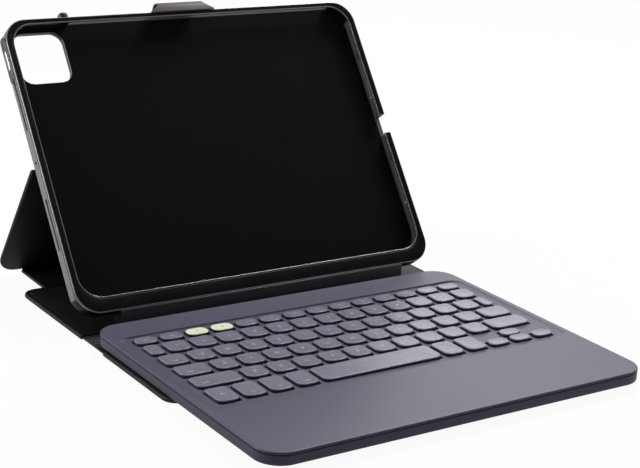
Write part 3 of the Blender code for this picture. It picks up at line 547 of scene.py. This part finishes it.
cutters.append(slotTool("earTool", wallLeft, halfUp, holes["ear"], holes["ear"]))
notchLow = (bumperHigh[0] - tray["side"] - 2 * tray["lip"], halfUp - holes["notchHalf"],
            floor + holes["notchFloor"])
notchHigh = (bumperHigh[0] + tray["side"], halfUp + holes["notchHalf"], holes["front"])
cutters.append(boxTool("notchTool", notchLow, notchHigh))
channel = {"start": 43.1 * mm, "end": 13.1 * mm}
channelLeft = pocket[0][0] + channel["start"]
channelRight = pocket[1][0] - channel["end"]
cutters.append(boxTool("channelTool", (channelLeft, openTop, liningHigh[2]),
                       (channelRight, bumperHigh[1] + holes["beyond"], holes["front"])))
cutters.append(prismTool("cameraTool", cameraOutline(0), shellBack - holes["beyond"],
                         floor + holes["beyond"]))
for button in ("power_button", "volume_up_button", "volume_down_button"):
    low, high = trayBox(button)
    low = low - holes["clearance"]
    high = high + holes["clearance"]
    if button == "power_button":
        high[0] += holes["through"]
    else:
        low[1] -= holes["through"]
    cutters.append(boxTool(button + "Tool", low, high))
low, high = trayBox("foot_plate")
cutters.append(boxTool("footPlateTool", low - holes["clearance"], high + holes["clearance"]))
carved(shell, cutters)
# the faces that look down the tray carry the black bumper material: painted shade where the shell turns away from
# the light
secondLook(shell, looks["bumper"], faceValues(shell, "normal") @ np.array(trayUp) < -0.3)
joinFrame(shaded(shell, 30), "tray", "tray", "tray_shell")

# rounded knob that closes the channel's left end
stop = {"length": 6.0 * mm, "corner": 2.2 * mm, "edge": 1.6 * mm, "sink": 0.3 * mm}
stopShape = ((channelLeft - stop["length"], liningHigh[2]), (channelLeft, shellFront - stop["sink"]),
             (stop["corner"],) * 4)
stopFoot = bumperHigh[1] - stop["sink"]
rings = ringStack(stopShape, [(0, stopFoot)] + upperRoll(shellHigh[1], stop["edge"], 7), 6)
verts, faces = solid(rings[:, :, [0, 2, 1]])
joinFrame(shaded(newObject("channelEndStop", trayPlaced(verts), faces, looks["surround"])), "tray", "tray")

lip = {"edge": 0.65 * mm, "step": 0.22 * mm, "bead": 0.45 * mm, "beadRows": 7}
lipTop = bumperHigh[2]
lipBack = bumperLow[2]
lipOuter = [(0.3 * mm, lipBack), (0, lipBack + 0.3 * mm)] + upperRoll(lipTop, lip["edge"], 8)
opening = ((pocket[0][0] + tray["lip"], zero), (pocket[1][0] - tray["lip"], openTop),
           (tray["pocketCorner"] - tray["lip"],) * 4)
# inner edge of the lip: a small step, then a quarter circle down to the pocket
lipLow = lipTop - lip["step"]
lipInner = [(-1.60 * mm, lipTop), (-1.42 * mm, lipTop - 0.06 * mm), (-1.30 * mm, lipLow),
            (-lip["bead"] * 1.6, lipLow)]
lipInner += [(-lip["bead"] * (1 - math.sin(a)), lipLow - lip["bead"] * (1 - math.cos(a)))
             for a in np.linspace(0, np.pi / 2, lip["beadRows"])]
lipInner += [(0, lipBack + 0.2 * mm), (-0.2 * mm, lipBack)]
rings = np.concatenate([ringStack(outer, lipOuter, cornerSteps), ringStack(opening, lipInner, cornerSteps)])
verts, faces = solid(rings, loop=True)
bumper = newObject("trayBumper", trayPlaced(verts), faces, looks["bumper"])
# the rounded rings at the outer and the inner edge carry a much paler glossy material: painted highlight along
# both edges
row = np.arange(len(faces)) // rings.shape[1]
firstBead = len(lipOuter) + 3
outerHighlight = (row >= 2) & (row < len(lipOuter) - 1)
innerHighlight = (row >= firstBead) & (row < firstBead + lip["beadRows"])
secondLook(bumper, looks["bead"], outerHighlight | innerHighlight)
carved(bumper, [boxTool("lipNotchTool", notchLow, notchHigh)])
joinFrame(shaded(bumper, 40), "tray", "bumper", "tray_bumper")

panelLow, panelHigh = trayBox("upper_back_panel")
panelShape = ((panelLow[0], panelLow[1]), (panelHigh[0], panelHigh[1]),
              (square, tray["corner"], tray["corner"], square))
verts, faces = plate(panelShape, panelLow[2], panelHigh[2], boards["upperEdge"])
panel = newObject("upperBackPanel", trayPlaced(verts), faces, looks["folio"])
panelHole = prismTool("panelHoleTool", cameraOutline(cameraHole["panelGap"]), panelLow[2] - holes["beyond"],
                      panelHigh[2] + holes["beyond"])
carved(panel, [panelHole])
joinFrame(shaded(panel, 30), "tray", "folio", "upper_back_panel")

low, high = trayBox("camera_surround")
inner = cameraOutline(0)
outerRing = cameraOutline(cameraHole["wall"])
bevel = cameraHole["bevel"]
ringHeights = [(outerRing, high[2]), (outerRing, low[2] + bevel), (cameraOutline(cameraHole["face"]), low[2]),
               (cameraOutline(bevel), low[2]), (inner, low[2] + bevel), (inner, high[2])]
rings = np.array([lifted(outline, height) for outline, height in ringHeights])
verts, faces = solid(rings[:, ::-1], loop=True)
joinFrame(shaded(newObject("cameraSurround", trayPlaced(verts), faces, looks["surround"])), "tray", "tray",
          "camera_surround")
print("tray made")


# Button covers: rounded bars, the power one with ribs across it

press = {"corner": 1.1 * mm, "rim": 0.45 * mm, "rimTurn": 1.57, "ribReach": 0.42, "ribHalf": 0.22 * mm,
         "ribInset": 0.35 * mm, "ribCorner": 0.2 * mm}


def buttonCover(name, node, body, ribs):
    # outline of the pressed face, then rings out of the wall with a rounded rim
    low, high = trayBox(node)
    atSide = node == "power_button"
    way, out = (1, 0) if atSide else (0, 1)
    shape = ((low[way], low[2]), (high[way], high[2]), (press["corner"],) * 4)
    depth = high[out] - low[out]
    rim = press["rim"]
    profile = [(0, 0)] + [(rim * (1 - math.cos(a)), depth - rim * (1 - math.sin(a)))
                          for a in np.linspace(0, press["rimTurn"], 5)]
    parts = [solid(ringStack(shape, profile, 6))]
    for place in np.linspace(-press["ribReach"], press["ribReach"], ribs):
        along = (high[way] - low[way]) * place + (high[way] + low[way]) / 2
        ribShape = ((along - press["ribHalf"], low[2] + press["ribInset"]),
                    (along + press["ribHalf"], high[2] - press["ribInset"]), (press["ribCorner"],) * 4)
        ribProfile = [(0, depth - 0.3 * mm), (0, depth - 0.05 * mm), (0.1 * mm, depth)]
        parts.append(solid(ringStack(ribShape, ribProfile, 3)))
    verts, faces = merged(parts)
    if atSide:
        verts = np.column_stack([high[0] - verts[:, 2], verts[:, 0], verts[:, 1]])
    else:
        verts = np.column_stack([verts[:, 0], low[1] + verts[:, 2], verts[:, 1]])
    look = looks["steel" if ribs else "bumper"]
    made = newObject(name, trayPlaced(verts), [face[::-1] for face in faces], look)
    return joinFrame(shaded(made), body, "bumper", node)


buttonCover("powerButton", "power_button", "power", 9)
buttonCover("volumeUpButton", "volume_up_button", "volume_up", 0)
buttonCover("volumeDownButton", "volume_down_button", "volume_down", 0)

# raised dark pad on the wall round the power button
padSize = {"below": 7.5 * mm, "above": 9 * mm, "back": 1.2 * mm, "front": 0.4 * mm, "corner": 2.4 * mm,
           "gap": 0.35 * mm, "holeCorner": 1.4 * mm, "rise": 0.55 * mm, "lift": 0.02 * mm}
low, high = trayBox("power_button")
padShape = ((low[1] - padSize["below"], shellBack + padSize["back"]),
            (high[1] + padSize["above"], shellFront - padSize["front"]), (padSize["corner"],) * 4)
gap = padSize["gap"]
hole = ((low[1] - gap, low[2] - gap), (high[1] + gap, high[2] + gap), (padSize["holeCorner"],) * 4)
rise = padSize["rise"]
padOuter = [(0, padSize["lift"]), (0.05 * mm, rise * 0.6), (0.5 * mm, rise)]
padInner = [(-0.3 * mm, rise), (0, rise - 0.2 * mm), (0, padSize["lift"])]
rings = np.concatenate([ringStack(padShape, padOuter, 6), ringStack(hole, padInner, 6)])
verts, faces = solid(rings, loop=True)
verts = np.column_stack([bumperLow[0] - verts[:, 2], verts[:, 0], verts[:, 1]])
pad = newObject("powerButtonPad", trayPlaced(verts), [face[::-1] for face in faces], looks["surround"])
joinFrame(shaded(pad), "tray", "bumper")


# Strap over the top channel: a soft arch with rounded edges

strap = {"thick": 1.0 * mm, "tab": 46.4 * mm, "width": 33.0 * mm, "edge": 0.35 * mm, "taper": 0.32,
         "rearGap": 1.2 * mm}
low, high = trayBox("channel_strap")
strapMiddle = (low[0] + high[0]) / 2
bore = (high[2] - low[2]) / 2 - strap["thick"] / 2
archUp = high[1] - bore - strap["thick"] / 2
archOut = (low[2] + high[2]) / 2
turn = np.linspace(0, np.pi, 29)
front = np.linspace(low[1], archUp, 6)[:-1]
rear = np.linspace(archUp, low[1] + strap["rearGap"], 3)[1:]
lineUp = np.concatenate([front, archUp + bore * np.sin(turn), rear])
lineOut = np.concatenate([np.full(len(front), archOut + bore), archOut + bore * np.cos(turn),
                          np.full(len(rear), archOut - bore)])
normalUp = np.concatenate([np.zeros(len(front)), np.sin(turn), np.zeros(len(rear))])
normalOut = np.concatenate([np.ones(len(front)), np.cos(turn), -np.ones(len(rear))])
reach = np.linspace(0, 1, len(lineUp))
# half width eases from the tab to the narrower arch with a smooth step
ease = np.clip(reach / strap["taper"], 0, 1)
ease = ease * ease * (3 - 2 * ease)
halfWidth = (strap["tab"] + (strap["width"] - strap["tab"]) * ease) / 2
section = roundedOutline((-1, -strap["thick"] / 2), (1, strap["thick"] / 2), (strap["edge"],) * 4, 4)
sectionX = np.sign(section[:, 0])[None, :] * (halfWidth[:, None] - (1 - np.abs(section[:, 0]))[None, :])
sectionN = section[:, 1][None, :]
rings = np.stack([strapMiddle + sectionX, lineUp[:, None] + normalUp[:, None] * sectionN,
                  lineOut[:, None] + normalOut[:, None] * sectionN], axis=-1)
verts, faces = solid(rings)
joinFrame(shaded(newObject("channelStrap", trayPlaced(verts), faces, looks["strap"])), "strap", "bumper",
          "channel_strap")
print("buttons and strap made")


# Keyboard covers

keyboard = {"corner": 15.0 * mm, "edge": 0.8 * mm, "wall": 1.6 * mm, "lowerEdge": 0.9 * mm,
            "wellCorner": 8.0 * mm, "cornerLoss": 4 * mm, "wellRim": 4.3 * mm, "wellRear": 22.0 * mm,
            "palm": 61.6 * mm, "slope": 5.0 * mm, "roll": 0.2 * mm, "rollReach": 0.8 * mm,
            "frontShare": 0.4, "rearShare": 0.08}
low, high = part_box("keyboard_top_cover")
deckTop = high.z
seam = low.z
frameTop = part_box("key_frame")[1].z
coverShape = ((low.x, low.y), (high.x, high.y), (keyboard["corner"],) * 4)
wellShape = ((low.x + keyboard["wellRim"], low.y + keyboard["palm"]),
             (high.x - keyboard["wellRim"], high.y - keyboard["wellRear"]), (keyboard["wellCorner"],) * 4)
edge = keyboard["edge"]
outside = [(keyboard["wall"], seam), (0.25 * mm, seam), (0.05 * mm, seam + 0.12 * mm), (0, seam + 0.4 * mm)]
outside += upperRoll(deckTop, edge, 9)
outside.append((edge + 0.6 * mm, deckTop))
# the well's wall rolls over the rim and runs out to the key frame in a hollow curve, a square of the way in
drop = deckTop - (frameTop + 0.06 * mm)
share = np.linspace(0, 1, 14)
inside = [(-0.9 * mm, deckTop), (-0.6 * mm, deckTop - 0.02 * mm), (-0.3 * mm, deckTop - 0.09 * mm)]
roll = keyboard["roll"]
inside += [(keyboard["slope"] * s, deckTop - roll - (drop - roll) * (1 - (1 - s) ** 2)) for s in share]


def wellRing(inset, height):
    # the slope is narrower along the front of the well, and slope and rolled rim along its rear
    ahead = inset * (keyboard["frontShare"] if inset > 0 else 1)
    behind = inset * (keyboard["rearShare"] if inset > -keyboard["rollReach"] else 1)
    corner = keyboard["wellCorner"] - min(inset, keyboard["cornerLoss"])
    outline = roundedOutline((wellShape[0][0] + inset, wellShape[0][1] + ahead),
                             (wellShape[1][0] - inset, wellShape[1][1] - behind), (corner,) * 4, cornerSteps)
    return lifted(outline, height)


wellRings = [wellRing(inset, height) for inset, height in inside]
underside = frameTop + 0.03 * mm
wellRings += [wellRing(inset, underside) for inset in (4.5 * mm, -2.0 * mm)]
rings = np.concatenate([ringStack(coverShape, outside, cornerSteps), np.array(wellRings),
                        ringStack(coverShape, [(keyboard["wall"], underside)], cornerSteps)])
verts, faces = solid(rings, loop=True)


def portTool():
    # a long round hole through the right wall, a little larger than the port
    portLow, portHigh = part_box("charge_port")
    grow = 0.25 * mm
    outline = roundedOutline((portLow.y - grow, portLow.z - grow), (portHigh.y + grow, portHigh.z + grow),
                             ((portHigh.z - portLow.z) / 2,) * 4, 8)
    ends = (coverShape[1][0] - keyboard["wall"] - 0.5 * mm, coverShape[1][0] + holes["beyond"])
    return newObject("portTool", *solid([standing(outline, x) for x in ends]))


topCover = newObject("keyboardTopCover", verts, faces, looks["deck"])
# the upright skirt carries the dark lower-shell material: painted shade on the top cover's side and end faces
steep = np.abs(faceValues(topCover, "normal")[:, 2]) < 0.6
faceX, faceY, faceZ = faceValues(topCover, "center").T
atSide = np.abs(faceX - (low.x + high.x) / 2) > (high.x - low.x) / 2 - keyboard["wellRim"] / 2
atEnd = np.abs(faceY - (low.y + high.y) / 2) > (high.y - low.y) / 2 - keyboard["corner"] / 2
secondLook(topCover, looks["lower"], steep & (faceZ < deckTop - 0.2 * edge) & (atSide | atEnd))
joinFrame(shaded(topCover, 40), "keyboard", "deck", "keyboard_top_cover")

low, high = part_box("keyboard_bottom_cover")
lowerEdge = keyboard["lowerEdge"]
profile = lowerRoll(low.z, lowerEdge, 8)
profile += [(0, high.z - 0.4 * mm), (0.05 * mm, high.z - 0.12 * mm), (0.25 * mm, high.z),
            (keyboard["wall"], high.z), (keyboard["wall"], low.z + lowerEdge)]
parts = [solid(ringStack(coverShape, profile, cornerSteps))]
dockLow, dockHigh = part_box("dock_bar")
ledge = {"lap": 2.2 * mm, "front": 0.5 * mm, "rear": 2 * mm, "bottom": 0.01 * mm, "top": 0.88 * mm,
         "edge": 0.3 * mm}
ledgeShape = ((dockLow.x, coverShape[1][1] - ledge["lap"]), (dockHigh.x, high.y),
              (ledge["front"], ledge["rear"], ledge["rear"], ledge["front"]))
parts.append(plate(ledgeShape, low.z + ledge["bottom"], low.z + ledge["top"], ledge["edge"], 6))
verts, faces = merged(parts)
bottomCover = carved(newObject("keyboardBottomCover", verts, faces, looks["lower"]), [portTool()])
joinFrame(shaded(bottomCover, 40), "keyboard", "lower_shell", "keyboard_bottom_cover")

foot = {"corner": 3.4 * mm, "edge": 0.7 * mm}
for node, name in (("front_foot_left", "frontFootLeft"), ("front_foot_right", "frontFootRight")):
    low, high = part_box(node)
    shape = ((low.x, low.y), (high.x, high.y), (foot["corner"],) * 4)
    verts, faces = plate(shape, low.z, high.z, foot["edge"], 8)
    joinFrame(shaded(newObject(name, verts, faces, looks["foot"])), "keyboard", "foot", node)


# Dock bar: a rounded profile swept along x, with softened ends

seat = {"top": 0.83 * mm, "length": 10.6 * mm}
seatDrop = seat["length"] * trayOut.z
corner = np.array([
    [dockLow.y, dockLow.z], [dockHigh.y, dockLow.z], [dockHigh.y, dockHigh.z - seatDrop],
    [dockLow.y + seat["top"], dockHigh.z], [dockLow.y, dockHigh.z]])
radii = np.array([0.3, 0.4, 0.8, 0.35, 0.4]) * mm
before = np.roll(corner, 1, axis=0) - corner
after = np.roll(corner, -1, axis=0) - corner
before /= np.linalg.norm(before, axis=1)[:, None]
after /= np.linalg.norm(after, axis=1)[:, None]
# each corner becomes a quadratic curve between two points at its radius
t = np.linspace(0, 1, 7)[None, :, None]
startPoint = (corner + before * radii[:, None])[:, None, :]
endPoint = (corner + after * radii[:, None])[:, None, :]
curve = (1 - t) ** 2 * startPoint + 2 * t * (1 - t) * corner[:, None, :] + t ** 2 * endPoint
profile = curve.reshape(-1, 2)
centre = profile.mean(0)
ends = [(0.0, 0.90), (0.25 * mm, 0.965), (0.8 * mm, 1.0)]
stations = [(dockLow.x + x, scale) for x, scale in ends]
stations += [(dockHigh.x - x, scale) for x, scale in ends[::-1]]
verts, faces = solid([standing(centre + (profile - centre) * scale, x) for x, scale in stations])
dockBar = shaded(newObject("dockBar", verts, faces, looks["dock"]), 30)
# its end faces carry the black bumper material: painted shade for the shadow at the bar's ends
secondLook(dockBar, looks["bumper"], np.abs(faceValues(dockBar, "normal")[:, 0]) > 0.5)
joinFrame(dockBar, "keyboard", "lower_shell", "dock_bar")
print("keyboard covers made")


# Keys: every cap has a rounded rim and a shallow dish

# what each key of a node shows, from left to right; only the space bar shows nothing
legends = {
    "digit_keys": list("1234567890-="), "upper_letter_keys": list("QWERTYUIOP[]"),
    "home_letter_keys": list("ASDFGHJKL;'"), "lower_letter_keys": list("ZXCVBNM,./"),
    "shortcut_keys": ["-", "+", "<<", ">", ">>", "x", "-", "+", "o", "="],
    "grave_key": ["`"], "delete_key": ["del"], "tab_key": ["tab"], "backslash_key": ["\\"],
    "caps_key": ["caps"], "return_key": ["return"], "left_shift_key": ["shift"], "right_shift_key": ["shift"],
    "function_key": ["fn"], "control_key": ["ctrl"], "left_option_key": ["alt"], "right_option_key": ["alt"],
    "left_command_key": ["cmd"], "right_command_key": ["cmd"], "escape_key": ["esc"], "home_key": ["o"],
    "pairing_key_one": ["1"], "pairing_key_two": ["2"], "left_arrow_key": ["<"], "right_arrow_key": [">"],
    "up_arrow_key": ["^"], "down_arrow_key": ["v"],
}
cap = {"rim": 0.55 * mm, "dish": 0.16 * mm, "rear": 2.6 * mm, "front": 4.5 * mm, "gap": 3.2 * mm,
       "widthShare": 0.45, "depthShare": 0.47, "fullDepth": 13 * mm, "steps": 6}
bar = {"inset": 3.5 * mm, "half": 3.4 * mm, "corner": 0.5 * mm, "bottom": 0.02 * mm, "top": 0.58 * mm}
bodyOf = {node: body for body, members in frame["record"]["behaviour"]["bodies"].items() for node in members}
keyNodes = [node for node in nodes if bodyOf[node].endswith("_press_body")]
capBoxes = {}


def pieceName(node):
    return node.replace("_key", "Key").replace("_", "")


def keyCap(low, high, bottom, top):
    width = high[0] - low[0]
    depth = high[1] - low[1]
    front = min(cap["front"], cap["widthShare"] * width, cap["depthShare"] * depth)
    rear = min(cap["rear"] * max(1, cap["fullDepth"] / depth), cap["widthShare"] * width)
    shape = (low, high, (front, rear, rear, front))
    rim = [(0.15 * mm, bottom), (0, bottom + 0.2 * mm)] + upperRoll(top, cap["rim"], 7)
    wall = ringStack(shape, rim, cap["steps"])
    # the top is the last ring drawn in towards its middle, sinking with the square of the way in
    last = wall[-1]
    middle = last.mean(0)
    scales = np.array([0.92, 0.80, 0.64, 0.46, 0.26, 0.08])[:, None, None]
    dish = middle + (last - middle)[None] * scales
    dish[:, :, 2] = top - cap["dish"] * (1 - scales[:, :, 0] ** 2)
    return solid(np.concatenate([wall, dish]))


for node in keyNodes:
    low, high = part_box(node)
    count = len(legends.get(node, [""]))
    pitch = (high.x - low.x + cap["gap"]) / count
    lefts = low.x + pitch * np.arange(count)
    boxes = [((left, low.y), (left + pitch - cap["gap"], high.y)) for left in lefts]
    capBoxes[node] = boxes
    parts = [keyCap(first, second, low.z, high.z) for first, second in boxes]
    # the wall below the rounded rim carries a near-black material: painted shade on the cap's side walls
    around = 4 * (cap["steps"] + 1)
    skirt = np.zeros(len(parts[0][1]), int)
    skirt[:2 * around] = 1
    skirt[-2] = 1
    skirt = np.tile(skirt, count)
    # a bar under the caps joins the keys of a row
    if count > 1:
        middleY = (low.y + high.y) / 2
        barShape = ((low.x + bar["inset"], middleY - bar["half"]),
                    (high.x - bar["inset"], middleY + bar["half"]), (bar["corner"],) * 4)
        parts.append(solid(ringStack(barShape, [(0, low.z + bar["bottom"]), (0, low.z + bar["top"])], 3)))
        # the bar under the caps carries the same painted shade
        skirt = np.append(skirt, np.ones(len(parts[-1][1]), int))
    verts, faces = merged(parts)
    pairing = node.startswith("pairing")
    made = shaded(newObject(pieceName(node), verts, faces, looks["pairing" if pairing else "key"]), 40)
    secondLook(made, looks["skirt"], skirt)
    joinFrame(made, bodyOf[node], "pairing_key" if pairing else "key", node)
print("keys made:", sum(len(boxes) for boxes in capBoxes.values()))


# Legends: plain letters, digits and words, flat on the dished tops

ink = {"letter": 3.6 * mm, "word": 2.5 * mm, "lift": 0.03 * mm, "fullDepth": 14 * mm, "leastShare": 0.25,
       "wide": 15 * mm, "fromLeft": 6.5 * mm, "deep": 12 * mm, "fromFront": 4.6 * mm}


def glyphMesh(text):
    # flat triangles of a text in the built-in font, one unit tall
    curve = bpy.data.curves.new("glyph", "FONT")
    curve.body = text
    curve.align_x = "CENTER"
    curve.align_y = "CENTER"
    curve.resolution_u = 3
    item = bpy.data.objects.new("glyph", curve)
    bpy.context.collection.objects.link(item)
    mesh = evaluatedMesh(item)
    verts = np.array([vert.co for vert in mesh.vertices])
    faces = [list(face.vertices) for face in mesh.polygons]
    bpy.data.objects.remove(item, do_unlink=True)
    bpy.data.curves.remove(curve)
    bpy.data.meshes.remove(mesh)
    return verts, faces


for node, texts in legends.items():
    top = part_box(node)[1].z
    parts = []
    for text, (first, second) in zip(texts, capBoxes[node]):
        verts, faces = glyphMesh(text)
        width = second[0] - first[0]
        depth = second[1] - first[1]
        word = len(text) > 2
        size = (ink["word"] if word else ink["letter"]) * min(1, depth / ink["fullDepth"] + ink["leastShare"])
        capX = (first[0] + second[0]) / 2
        capY = (first[1] + second[1]) / 2
        # a word stands near the left edge of a wide cap and near the front edge of a deep one
        middleX = first[0] + ink["fromLeft"] if word and width > ink["wide"] else capX
        middleY = first[1] + ink["fromFront"] if word and depth > ink["deep"] else capY
        # height follows the dish below it
        x = middleX + verts[:, 0] * size
        y = middleY + verts[:, 1] * size
        away = np.maximum(np.abs(x - capX) / (width / 2), np.abs(y - capY) / (depth / 2))
        z = top - cap["dish"] * (1 - np.clip(away, 0, 1) ** 2) + ink["lift"]
        parts.append((np.column_stack([x, y, z]), faces))
    verts, faces = merged(parts)
    pairing = node.startswith("pairing")
    look = looks["legendDark" if pairing else "legend"]
    made = newObject(pieceName(node) + "Legend", verts, faces, look, closed=False)
    joinFrame(made, bodyOf[node], "pairing_key" if pairing else "key")
print("legends made")


# Stage: pale floor, white surroundings, soft lights and the camera

def floatMix(tree, first, second, factor):
    # a number between two others, by a third one from 0 to 1
    made = tree.nodes.new("ShaderNodeMix")
    made.data_type = "FLOAT"
    for place, value in (("A", first), ("B", second), ("Factor", factor)):
        if isinstance(value, (int, float)):
            made.inputs[place].default_value = value
        else:
            tree.links.new(value, made.inputs[place])
    return made.outputs["Result"]


stage = {"size": 4.0, "drop": 0.2 * mm, "white": 0.94, "mirrorWhite": 0.7, "fill": 0.42, "room": 0.05,
         "blend": 0.35}
corners = np.array([[-1, -1], [1, -1], [1, 1], [-1, 1]]) * stage["size"]
floorLook = bpy.data.materials.new("paleFloor")
floorLook.use_nodes = True
floorTree = floorLook.node_tree
floorShader = floorTree.nodes["Principled BSDF"]
floorShader.inputs["Base Color"].default_value = (0.82, 0.82, 0.83, 1)
floorShader.inputs["Roughness"].default_value = 0.9
# camera and mirror rays see the floor as plain white, with a share of its shading left for the shadow
floorPath = floorTree.nodes.new("ShaderNodeLightPath")
floorWhite = floorTree.nodes.new("ShaderNodeEmission")
floorMix = floorTree.nodes.new("ShaderNodeMixShader")
seen = floatMix(floorTree, 0.0, stage["mirrorWhite"], floorPath.outputs["Is Glossy Ray"])
seen = floatMix(floorTree, seen, stage["white"], floorPath.outputs["Is Camera Ray"])
floorTree.links.new(seen, floorMix.inputs["Fac"])
floorTree.links.new(floorShader.outputs["BSDF"], floorMix.inputs[1])
floorTree.links.new(floorWhite.outputs["Emission"], floorMix.inputs[2])
floorTree.links.new(floorMix.outputs["Shader"], floorTree.nodes["Material Output"].inputs["Surface"])
floorObject = newObject("paleFloor", lifted(corners, -stage["drop"]), [[0, 1, 2, 3]], floorLook)

world = bpy.data.worlds.new("studio")
world.use_nodes = True
bpy.context.scene.world = world
worldTree = world.node_tree
background = worldTree.nodes["Background"]
worldPath = worldTree.nodes.new("ShaderNodeLightPath")
direction = worldTree.nodes.new("ShaderNodeTexCoord")
split = worldTree.nodes.new("ShaderNodeSeparateXYZ")
worldTree.links.new(direction.outputs["Generated"], split.inputs["Vector"])
# mirror rays meet the white backdrop behind the object and a dark room in front of it
backdrop = worldTree.nodes.new("ShaderNodeMapRange")
backdrop.interpolation_type = "SMOOTHSTEP"
backdrop.inputs["From Min"].default_value = -stage["blend"]
backdrop.inputs["From Max"].default_value = stage["blend"]
worldTree.links.new(split.outputs["Y"], backdrop.inputs["Value"])
mirror = floatMix(worldTree, stage["room"], 1.0, backdrop.outputs["Result"])
level = floatMix(worldTree, stage["fill"], mirror, worldPath.outputs["Is Glossy Ray"])
level = floatMix(worldTree, level, 1.0, worldPath.outputs["Is Transmission Ray"])
level = floatMix(worldTree, level, 1.0, worldPath.outputs["Is Camera Ray"])
background.inputs["Color"].default_value = (1, 1, 1, 1)
worldTree.links.new(level, background.inputs["Strength"])


def softBox(name, place, target, width, height, power):
    light = bpy.data.lights.new(name, "AREA")
    light.shape = "RECTANGLE"
    light.size = width
    light.size_y = height
    light.energy = power
    made = bpy.data.objects.new(name, light)
    bpy.context.collection.objects.link(made)
    made.location = place
    made.rotation_mode = "QUATERNION"
    made.rotation_quaternion = (Vector(target) - Vector(place)).to_track_quat("-Z", "Y")
    return made


softBox("leftBox", (-0.95, 0.30, 0.32), (-0.127, 0.02, 0.09), 0.5, 0.5, 8)
softBox("topBox", (0.68, 0.31, 1.00), (0, -0.05, 0), 0.4, 0.4, 10)
softBox("frontBox", (0.85, -1.25, 0.36), (0, -0.02, 0.02), 0.5, 0.25, 1.4)
softBox("lowBox", (0.87, 1.06, 0.46), (0.05, -0.12, 0), 0.7, 0.4, 1.2)

view = {"azimuth": -34.744, "elevation": 17.461, "roll": 3.29, "right": -26.439 * mm, "up": -47.998 * mm,
        "away": 1006.851 * mm, "lens": 92.187}
target = Vector((0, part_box("keyboard_top_cover")[1].y, 0))
azimuth = math.radians(view["azimuth"])
elevation = math.radians(view["elevation"])
roll = math.radians(view["roll"])
backward = Vector((math.sin(azimuth) * math.cos(elevation), -math.cos(azimuth) * math.cos(elevation),
                   math.sin(elevation)))
sideways = Vector((0, 0, 1)).cross(backward).normalized()
upright = backward.cross(sideways)
rightward = sideways * math.cos(roll) + upright * math.sin(roll)
upward = upright * math.cos(roll) - sideways * math.sin(roll)
eye = backward * view["away"] - rightward * view["right"] - upward * view["up"] + target
lens = bpy.data.cameras.new("camera")
lens.lens = view["lens"]
lens.sensor_width = 36
lens.sensor_fit = "HORIZONTAL"
lens.clip_start = 0.05
lens.clip_end = 30
camera = bpy.data.objects.new("camera", lens)
bpy.context.collection.objects.link(camera)
turnMatrix = Matrix((rightward, upward, backward)).transposed().to_4x4()
camera.matrix_world = Matrix.Translation(eye) @ turnMatrix
bpy.context.scene.camera = camera
bpy.context.scene.view_settings.view_transform = "Standard"
print("stage made")

bpy.context.view_layer.update()
